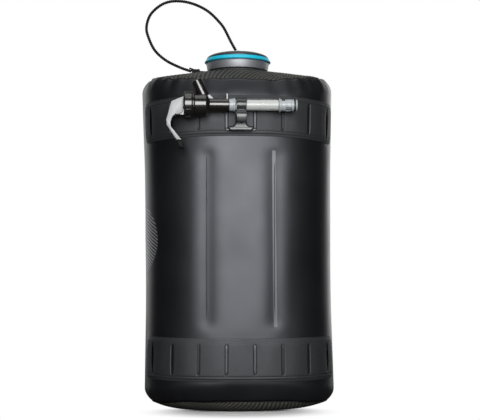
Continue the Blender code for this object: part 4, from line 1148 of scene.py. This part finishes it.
# %% The hose, swollen a little where the end fitting's barbs push it out
HOSE_RADIUS = 0.0053
HOSE_BORE = 0.0037
RIDGE_PITCH = 0.0034
SWELL = 0.00022
SWELL_FROM = 0.0185  # the barbs reach this far in from the end
HOSE_EDGE = 0.0004
HOSE_STEPS = 90
hose_ends = ((HOSE_BORE, 0), (HOSE_RADIUS - 0.0003, 0), (HOSE_RADIUS, HOSE_EDGE))
hose_profile = [(radius, hose_low.x + inset) for radius, inset in hose_ends]
for i in range(1, HOSE_STEPS):
    x = hose_low.x + HOSE_EDGE + (hose_high.x - hose_low.x - 2 * HOSE_EDGE) * i / HOSE_STEPS
    from_end = hose_high.x - x
    ridge = 0.5 + 0.5 * math.cos(math.tau * from_end / RIDGE_PITCH)
    hose_profile.append((HOSE_RADIUS + SWELL * clamp((SWELL_FROM - from_end) / 0.003) * ridge, x))
hose_profile += [(radius, hose_high.x - inset) for radius, inset in hose_ends[::-1]]
hose = along_line(turned(hose_profile))
place(hose, "clear_tube", pale_hose, "hose", "clear_hose", ["hose"])

# %% Barbed tails
WATERWAY = 0.0021
BARB_CORE = 0.0030
BARB_RIDGE = 0.0034
BARB_STEP = 0.0035
BARBS = 4


def tail(root, way):
    """Barbs from a root, towards +X or -X."""
    barbs = []
    for i in range(BARBS):
        barbs += [(BARB_CORE, i + 0.06), (BARB_RIDGE, i + 0.25)]
    barbs += [(BARB_CORE, BARBS), (WATERWAY, BARBS)]
    return [(radius, root + way * BARB_STEP * along) for radius, along in barbs]


# %% The coupling's plug, with its stepped collar beside the clip
plug_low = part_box("plug")[0]
plug_ring_low, plug_ring_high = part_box("plug_o_ring")
latch_low, latch_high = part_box("latch_plate")
PLUG_RADIUS = 0.0038
PLUG_GROOVE = 0.0026
PLUG_WAIST = 0.0031
COLLAR_SMALL, COLLAR_WIDE = 0.0061, 0.0065
PLUG_COLLAR = (hose_low.x - GAP - 0.0059, hose_low.x - GAP)
latch_x = (latch_low.x + latch_high.x) / 2
plug_profile = [
    (WATERWAY, plug_low.x), (PLUG_RADIUS - 0.0004, plug_low.x), (PLUG_RADIUS, plug_low.x + 0.0005),
    (PLUG_RADIUS, plug_ring_low.x - GAP), (PLUG_GROOVE, plug_ring_low.x - GAP),
    (PLUG_GROOVE, plug_ring_high.x + GAP), (PLUG_RADIUS, plug_ring_high.x + GAP),
    (PLUG_RADIUS, latch_x - 0.0015), (PLUG_WAIST, latch_x - 0.0015), (PLUG_WAIST, PLUG_COLLAR[0]),
    (COLLAR_SMALL - 0.0004, PLUG_COLLAR[0]), (COLLAR_SMALL, PLUG_COLLAR[0] + 0.0004),
    (COLLAR_SMALL, PLUG_COLLAR[1] - 0.0021), (COLLAR_WIDE, PLUG_COLLAR[1] - 0.0017),
    (COLLAR_WIDE, PLUG_COLLAR[1] - 0.0004), (COLLAR_SMALL, PLUG_COLLAR[1]), *tail(PLUG_COLLAR[1], 1),
]
plug = along_line(turned(plug_profile))
place(plug, "coupling_plug", fitting_grey, "hose", "grey_plastic", ["plug"])


def seal_ring(name, node):
    low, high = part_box(node)
    wire = (high.x - low.x) / 2
    reach = (high.z - low.z) / 2 - wire
    ring = turned(arc((reach, (low.x + high.x) / 2), wire, 0, 330, 11))
    place(along_line(ring), name, rubber, "hose", "black_rubber", [node])


seal_ring("coupling_seal", "plug_o_ring")

# %% The end fitting, with windows above and below that are set off from each other
end_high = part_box("end_connector")[1]
FLANGE_X = hose_high.x + GAP
WINDOW_START = FLANGE_X + 0.0017
WINDOW_END = WINDOW_START + 0.0130
BODY_OUT = 0.0058
CORE_OUT = 0.0045
CORE_WAIST = 0.0042
RIM_SMALL, RIM_WIDE = 0.0065, 0.0069
NOSE_OUT = 0.0056
NOSE_BACK = end_high.x - 0.0014
fitting = turned(
    [
        *tail(FLANGE_X, -1)[::-1], (BARB_CORE, FLANGE_X), (RIM_SMALL, FLANGE_X),
        (RIM_WIDE, FLANGE_X + 0.0004), (RIM_WIDE, FLANGE_X + 0.0013), (RIM_SMALL, WINDOW_START),
        (CORE_OUT, WINDOW_START), (CORE_OUT, WINDOW_END), (CORE_WAIST, WINDOW_END),
        (CORE_WAIST, NOSE_BACK), (0.0054, NOSE_BACK), (NOSE_OUT, end_high.x - 0.0011),
        (NOSE_OUT, end_high.x - 0.0004), (0.0050, end_high.x), (WATERWAY, end_high.x),
    ]
)


def cuff(start, end, gap):
    """A stretch of the fitting's outer wall, all the way round or with a window in it."""
    profile = [(CORE_OUT - 0.0002, start), (BODY_OUT, start), (BODY_OUT, end), (CORE_OUT - 0.0002, end)]
    if gap is None:
        return soften(turned(profile), FINE_EDGE, 2)
    part_way = sector(profile, math.radians(gap[1]), math.radians(gap[0] + 360), 44)
    return soften(part_way, FINE_EDGE, 2, 60)


# Angles start straight down and go round by the back and the top to the front
for start, end, gap in (
    (0.0000, 0.0012, None), (0.0012, 0.0052, (130, 228)), (0.0046, 0.0062, (-62, 20)),
    (0.0062, 0.0108, (-62, 20)), (0.0108, 0.0130, None),
):
    added(fitting, cuff(WINDOW_START + start, WINDOW_START + end, gap))
place(along_line(fitting), "end_fitting", fitting_grey, "hose", "grey_plastic", ["end_connector"])
seal_ring("end_seal", "end_o_ring")

# %% [markdown]
# ## The tap
#
# The valve housing is turned, with a tilted spout and a small gusset. A screwed cap closes it on the left
# and carries one ear, on which the lever hinges. The lever pulls a rod against a coil spring.

# %% The valve housing
collar_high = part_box("tap_collar")[1]
HOUSING_LENGTH = 0.0139
HOUSING_LEFT = collar_high.x + GAP
HOUSING_RIGHT = HOUSING_LEFT + HOUSING_LENGTH
CHAMBER = 0.0072
ROD_HOLE = 0.0032
SOCKET_RIGHT = PLUG_COLLAR[0] - GAP
HOUSING_RADIUS = 0.0110
SOCKET_RADIUS = 0.0064
SOCKET_BORE = 0.0042
SLOT = (latch_low.x - 0.0004, latch_high.x + 0.0004)
housing = turned(
    [
        (CHAMBER, HOUSING_LEFT),
        *arc((HOUSING_RADIUS - 0.0006, HOUSING_LEFT + 0.0006), 0.0006, 270, 360),
        (HOUSING_RADIUS, HOUSING_RIGHT - 0.0030),
        *arc((HOUSING_RADIUS - 0.0012, HOUSING_RIGHT - 0.0030), 0.0012, 0, 60),
        (SOCKET_RADIUS + 0.0016, HOUSING_RIGHT),
        *arc((SOCKET_RADIUS + 0.0014, HOUSING_RIGHT + 0.0014), 0.0014, 250, 180),
        (SOCKET_RADIUS, SLOT[0]), (SOCKET_BORE, SLOT[0]), (SOCKET_BORE, HOUSING_RIGHT),
        (ROD_HOLE, HOUSING_RIGHT), (ROD_HOLE, HOUSING_LEFT + 0.0110), (CHAMBER, HOUSING_LEFT + 0.0110),
    ],
    96,
)
mouth = turned(
    [
        (SOCKET_BORE, SLOT[1]), (SOCKET_RADIUS, SLOT[1]), (SOCKET_RADIUS, SOCKET_RIGHT - 0.0003),
        (SOCKET_RADIUS - 0.0003, SOCKET_RIGHT), (SOCKET_BORE, SOCKET_RIGHT),
    ],
    96,
)
added(housing, mouth)
SLOT_HALF = math.radians(34)
near_x, far_x = SLOT[0] - 0.0002, SLOT[1] + 0.0002
bridge_profile = [(0.0058, near_x), (SOCKET_RADIUS, near_x), (SOCKET_RADIUS, far_x), (0.0058, far_x)]
bridge = sector(bridge_profile, math.pi + SLOT_HALF, 3 * math.pi - SLOT_HALF, 60)
added(housing, bridge)
along_line(housing)

# %% The spout and the gusset
SPOUT_TILT = math.radians(25.4)
SPOUT_RADIUS = 0.0053
SPOUT_BORE = 0.0043
SPOUT_LENGTH = 0.0263
SPOUT_ROOT = 0.0085
spout = turned(
    [
        (SPOUT_BORE, SPOUT_ROOT), (SPOUT_BORE, SPOUT_LENGTH),
        *arc((SPOUT_RADIUS - 0.0004, SPOUT_LENGTH - 0.0004), 0.0004, 90, 0),
        (SPOUT_RADIUS, SPOUT_ROOT),
    ]
)
SPOUT_FOOT = Vector((HOUSING_RIGHT - 0.04 * HOUSING_LENGTH, AXIS_Y, AXIS_Z))
laid(spout, Matrix.Translation(SPOUT_FOOT) @ Matrix.Rotation(-SPOUT_TILT, 4, "Y"))
added(housing, spout)
GUSSET = [(-0.0052, 0.0), (0.0060, 0.0), (-0.0052, 0.0104)]
upright = Matrix.Rotation(math.pi / 2, 4, "X")  # stands a flat shape up, facing front and back
gusset_foot = Matrix.Translation((HOUSING_RIGHT, AXIS_Y, AXIS_Z + SOCKET_RADIUS - 0.0010))
added(housing, soften(slab(GUSSET, 0.0008, gusset_foot @ upright), 0.0002, 2))
place(housing, "valve_housing", black_plastic, "tap", "black_plastic", ["tap_body"])

# %% The screwed cap, with its grip notches and the lever's ear
CAP_RIGHT = collar_high.x
CAP_LEFT = CAP_RIGHT - 0.0100
CAP_RADIUS = 0.0129
NOTCHES = 8
NOTCH_START = 0.47
NOTCH_SPAN = (0.0018, 0.0070)
NOTCH_DEPTH, NOTCH_WIDTH = 0.0011, 0.00055
GROOVE_AT, GROOVE_DEPTH = 0.0082, 0.0006
CAP_HOLE = 0.0023
CAP_EDGE = CAP_LEFT + 0.0014
CAP_STEPS = 34
cap_profile = [(CAP_HOLE, CAP_LEFT), (CAP_RADIUS - 0.0022, CAP_LEFT)]
cap_profile += arc((CAP_RADIUS - 0.0014, CAP_EDGE), 0.0014, 270, 360, 5)
for i in range(1, CAP_STEPS):
    along = (CAP_RIGHT - 0.0008 - CAP_LEFT - 0.0014) * i / CAP_STEPS
    cap_profile.append((CAP_RADIUS, CAP_EDGE + along))
cap_profile += arc((CAP_RADIUS - 0.0006, CAP_RIGHT - 0.0006), 0.0006, 0, 90, 3)
cap_profile += [(CHAMBER, CAP_RIGHT), (CHAMBER, CAP_LEFT + 0.0030), (CAP_HOLE, CAP_LEFT + 0.0030)]
screw_cap = turned(cap_profile, 384)
for vert in screw_cap.verts:
    r, x = math.hypot(vert.co.x, vert.co.y), vert.co.z
    if r < CAP_RADIUS - 0.0008:
        continue
    turn = math.atan2(vert.co.y, vert.co.x) / math.tau * NOTCHES + NOTCH_START
    across = abs(turn - round(turn)) * math.tau / NOTCHES * CAP_RADIUS
    along = x - CAP_LEFT
    notched = NOTCH_SPAN[0] < along < NOTCH_SPAN[1]
    dip = NOTCH_DEPTH * bell(across, NOTCH_WIDTH) ** 2 if notched else 0
    dip += GROOVE_DEPTH * bell(along - GROOVE_AT, 0.0003)
    vert.co.x *= (r - dip) / r
    vert.co.y *= (r - dip) / r
along_line(screw_cap)

pin_low, pin_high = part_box("lever_pin")
PIVOT = (pin_low + pin_high) / 2
EAR_REACH = 0.0026
EAR_HOLE = 0.00115


def ear_reach(c, s):
    """A round ear that runs straight on into the cap."""
    if c > 0:
        return min((CAP_LEFT + 0.0004 - PIVOT.x) / c, EAR_REACH / max(abs(s), 1e-6))
    return EAR_REACH


ear_outline, ear_hole = outlines(48, ear_reach, EAR_HOLE)
facing = Matrix.Translation(PIVOT) @ upright
added(screw_cap, slab(ear_outline, 0.0020, facing, ear_hole))
place(screw_cap, "valve_cap", black_plastic, "tap", "black_plastic", ["tap_collar"])

# %% The lever, its pin and its rubber boot
lever_mesh = cad_mesh("lever")
LEVER_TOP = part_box("lever")[1].z
LEVER_SLOPE = 0.41
ARM_TOP, ARM_LENGTH, ARM_SWING = 0.300, 0.031, 0.0018


def swung(z):
    """How far the lever's lower arm swings out."""
    return ARM_SWING * clamp((ARM_TOP - z) / ARM_LENGTH)


for vert in lever_mesh.verts:
    slope_top = LEVER_TOP - (PIVOT.x + 0.0023 - vert.co.x) * LEVER_SLOPE
    vert.co.z = min(vert.co.z, slope_top)
    vert.co.x -= swung(vert.co.z)
place(eased(lever_mesh, 0.00045, 3), "press_lever", light_grey, "lever", "grey_plastic", ["lever"])
PIN_RADIUS = (pin_high.z - pin_low.z) / 2
pin_half = (pin_high.y - pin_low.y) / 2
pin = turned([(0, -pin_half), (PIN_RADIUS, -pin_half), (PIN_RADIUS, pin_half), (0, pin_half)], 32)
place(laid(soften(pin, FINE_EDGE, 2), facing), "hinge_pin", steel, "tap", "steel", ["lever_pin"])

boot = copied("lever_tip", 0.0002)
boot_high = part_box("lever_tip")[1]
BOOT_SLANT = 0.28
for vert in boot.verts:
    vert.co.x += (boot_high.z - vert.co.z) * BOOT_SLANT - swung(vert.co.z)
place(boot, "lever_boot", dull_black, "lever", "black_rubber", ["lever_tip"])

# %% The rod, its washer and its coil
place(copied("valve_stem", 0.0002), "pull_rod", light_grey, "stem", "grey_plastic", ["valve_stem"])
place(copied("valve_seal", 0.0002), "seat_washer", rubber, "stem", "black_rubber", ["valve_seal"])
coil_low, coil_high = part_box("valve_spring")
WIRE = 0.0004
coil_reach = (coil_high.y - coil_low.y) / 2 - WIRE
COIL_STEPS, COIL_TURNS = 144, 3
coil_line = []
for i in range(COIL_STEPS + 1):
    turn = math.tau * i / (COIL_STEPS / COIL_TURNS)
    x = coil_low.x + WIRE + (coil_high.x - coil_low.x - 2 * WIRE) * i / COIL_STEPS
    y, z = coil_reach * math.cos(turn), coil_reach * math.sin(turn)
    coil_line.append(Vector((x, AXIS_Y + y, AXIS_Z + z)))
coil = swept(coil_line, lambda turn: WIRE, 10)
place(coil, "return_coil", steel, "stem", "steel", ["valve_spring"])

# %% The release tab
LATCH_MIDDLE = AXIS_Z + 0.0007
TAB_TOP = latch_high.z - LATCH_MIDDLE
TAB_RADIUS = 0.0050
TAB_BORE = 0.0043
TAB_HALF = 0.0030


def tab_reach(c, s):
    """A ring with a rounded tab that stands up from it."""
    if s > 0:
        wide = (abs(c) / TAB_HALF) ** 5 + (s / TAB_TOP) ** 5
        return max(TAB_RADIUS, wide ** (-1 / 5))
    return TAB_RADIUS


tab_outline, tab_hole = outlines(96, tab_reach, TAB_BORE)
across_line = Matrix(((0, 0, 1, 0), (1, 0, 0, 0), (0, 1, 0, 0), (0, 0, 0, 1)))
tab_place = Matrix.Translation((latch_x, AXIS_Y, LATCH_MIDDLE)) @ across_line
tab = soften(slab(tab_outline, 0.0009, tab_place, tab_hole), EDGE, 3)
place(tab, "release_tab", black_plastic, "latch", "steel", ["latch_plate"])

# %% [markdown]
# ## The clip
#
# A moulded hook holds the hose. Its back leaf stands on a T foot that is set in the two middle slits. It
# goes up behind the hose and over it, follows the hose round in front, and turns out again at its end.

# %% The strap over the hose
clip_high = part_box("tube_clip")[1]
CLIP_INNER = 0.00575
CLIP_THICK = 0.0015
CLIP_HALF = 0.0053
BACK = clip_high.y - AXIS_Y - 0.0008
# Each station has an inner and an outer place round the hose's line, and half a width
stations = [((CLIP_INNER, drop), (BACK, drop), CLIP_HALF) for drop in (-0.0080, -0.0040)]
outer = CLIP_INNER + CLIP_THICK
for degrees in range(0, 216, 9):
    c, s = math.cos(math.radians(degrees)), math.sin(math.radians(degrees))
    reach = BACK if c > 0 else outer
    narrow = 0.0006 * bell(degrees - 215, 40)
    stations.append(((CLIP_INNER * c, CLIP_INNER * s), (reach * c, outer * s), CLIP_HALF - narrow))
stations += [
    ((-0.0045, -0.0056), (-0.0058, -0.0051), 0.0046),
    ((-0.0051, -0.0072), (-0.0062, -0.0062), 0.0047),
    ((-0.0060, -0.0084), (-0.0071, -0.0073), 0.0049),
    ((-0.0066, -0.0094), (-0.0079, -0.0086), 0.0050),
    ((-0.0068, -0.0104), (-0.0082, -0.0102), 0.0050),
    ((-0.0066, -0.0126), (-0.0080, -0.0125), 0.0049),
    ((-0.0062, -0.0150), (-0.0076, -0.0150), 0.0046),
    ((-0.0058, -0.0172), (-0.0072, -0.0172), 0.0041),
]
clip = bmesh.new()
loops = []
for (iy, iz), (oy, oz), wide in stations:
    corners = ((-wide, iy, iz), (wide, iy, iz), (wide, oy, oz), (-wide, oy, oz))
    loops.append([clip.verts.new((x, AXIS_Y + y, AXIS_Z + z)) for x, y, z in corners])
for near, far_loop in zip(loops, loops[1:]):
    for i in range(4):
        clip.faces.new((near[i], near[(i + 1) % 4], far_loop[(i + 1) % 4], far_loop[i]))
clip.faces.new(loops[0])
clip.faces.new(loops[-1])
soften(outward(clip), EDGE, 3)

# %% The T foot, with a sunk middle, and the hooks in the slits
FOOT = [
    (0.0054, -0.0070), (0.0055, -0.0150), (0.0059, -0.0173), (0.0070, -0.0190), (0.0092, -0.0197),
    (0.0120, -0.0199), (0.0128, -0.0206), (0.0126, -0.0215), (0.0112, -0.0232), (0.0100, -0.0240),
    (0.0084, -0.0241),
]
FOOT += [(-x, z) for x, z in FOOT[::-1]]
foot_half = (BACK - CLIP_INNER) / 2
foot_place = Matrix.Translation((0, AXIS_Y + CLIP_INNER + foot_half, AXIS_Z)) @ upright
foot = slab(FOOT, foot_half, foot_place)
front = [f for f in foot.faces if f.normal.y < -0.9 and len(f.verts) > 4]
bmesh.ops.inset_region(foot, faces=front, thickness=0.0013, depth=-0.0009)
added(clip, soften(foot, EDGE, 2))
HOOK_SIZE = (0.0046, 0.0022, 0.0017)
for side in (-1, 1):
    hook = bmesh.new()
    bmesh.ops.create_cube(hook, size=1)
    bmesh.ops.scale(hook, verts=hook.verts, vec=HOOK_SIZE)
    middle = (side * 0.0127, AXIS_Y + BACK - 0.0001, AXIS_Z - 0.0229)
    bmesh.ops.translate(hook, verts=hook.verts, vec=middle)
    added(clip, soften(hook, EDGE, 2))
place(clip, "hook_clip", clip_grey, "top", "clip_plastic", ["tube_clip"])

# %% [markdown]
# ## The gasket
#
# The gasket in the cap keeps its CAD mesh and only gets a finish.

# %% Give it its finish
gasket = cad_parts["cap_gasket"].data
gasket.materials.clear()
gasket.materials.append(rubber)
print("gasket", len(gasket.vertices), "points")

# %% [markdown]
# ## The studio
#
# The floor and the backdrop are white, and the room in front is dim. A wide soft lamp in front lays the
# broad highlight down the middle of the film, and the white backdrop behind gives its pale rims.

# %% The floor
FLOOR_HALF = 3.0
floor_mesh = bmesh.new()
bmesh.ops.create_grid(floor_mesh, x_segments=1, y_segments=1, size=FLOOR_HALF)
floor_finish = new_finish("floor", (0.86, 0.86, 0.86), 0.9)
OBLONG = {"Location": (0, -0.050, 0), "Scale": (0.085, 0.052, 1)}  # the bag's foot on the floor
at = add_node(floor_finish, "TexCoord", out="Object")
oblong = add_node(floor_finish, "Mapping", at, vector_type="TEXTURE", **OBLONG)
far = add_node(floor_finish, "VectorMath", oblong, operation="LENGTH", out="Value")
SMOOTH = {"interpolation_type": "SMOOTHSTEP"}
fade = add_node(floor_finish, "MapRange", far, From_Min=0.50, From_Max=1.25, **SMOOTH)
seen = add_node(floor_finish, "LightPath", out="Is Camera Ray")
through = seen.node.outputs["Is Transmission Ray"]
either = add_node(floor_finish, "Math", seen, through, operation="MAXIMUM")
both = add_node(floor_finish, "Math", fade, either, operation="MULTIPLY")
glow = add_node(floor_finish, "Emission", Color=(1, 1, 1, 1), Strength=1.0)
matt = shader_of(floor_finish)
shown = add_node(floor_finish, "MixShader", both, matt.outputs["BSDF"], glow)
feed(floor_finish, floor_finish.node_tree.nodes["Material Output"].inputs["Surface"], shown)
paler = add_node(floor_finish, "MixRGB", seen, (0.02, 0.02, 0.02, 1), (0.92, 0.92, 0.92, 1))
feed(floor_finish, matt.inputs["Base Color"], paler)
floor = place(floor_mesh, "floor", floor_finish)

# %% The white backdrop and the dim room
world = bpy.data.worlds.new("studio")
scene.world = world
world.use_nodes = True
background = world.node_tree.nodes["Background"]
background.inputs["Color"].default_value = (1, 1, 1, 1)
ways = add_node(world, "TexCoord", out="Generated")
deep = add_node(world, "SeparateXYZ", ways, out="Y")
RANGE = {"From_Min": 0.50, "From_Max": 0.95, "To_Min": 0.012, "To_Max": 1.0}
behind = add_node(world, "MapRange", deep, **SMOOTH, **RANGE)
seen = add_node(world, "LightPath", out="Is Camera Ray")
strength = add_node(world, "Math", seen, behind, operation="MAXIMUM")
feed(world, background.inputs["Strength"], strength)


# %% The lamps
def soft_lamp(name, place_at, aim, size, power):
    lamp = bpy.data.lights.new(name, "AREA")
    lamp.shape = "RECTANGLE"
    lamp.size, lamp.size_y = size
    lamp.energy = power
    made = bpy.data.objects.new(name, lamp)
    made.location = place_at
    made.rotation_euler = (Vector(aim) - Vector(place_at)).to_track_quat("-Z", "Y").to_euler()
    scene.collection.objects.link(made)


soft_lamp("front_lamp", (0.05, -1.55, 0.56), (0, 0, 0.25), (1.02, 0.86), 32)
soft_lamp("right_lamp", (0.96, 1.15, 0.35), (0, 0, 0.2), (0.9, 1.3), 5)
soft_lamp("left_lamp", (-0.96, 1.15, 0.35), (0, 0, 0.2), (0.9, 1.3), 2)
soft_lamp("top_lamp", (0.0, -0.25, 1.5), (0, 0, 0.2), (1.0, 1.0), 5)
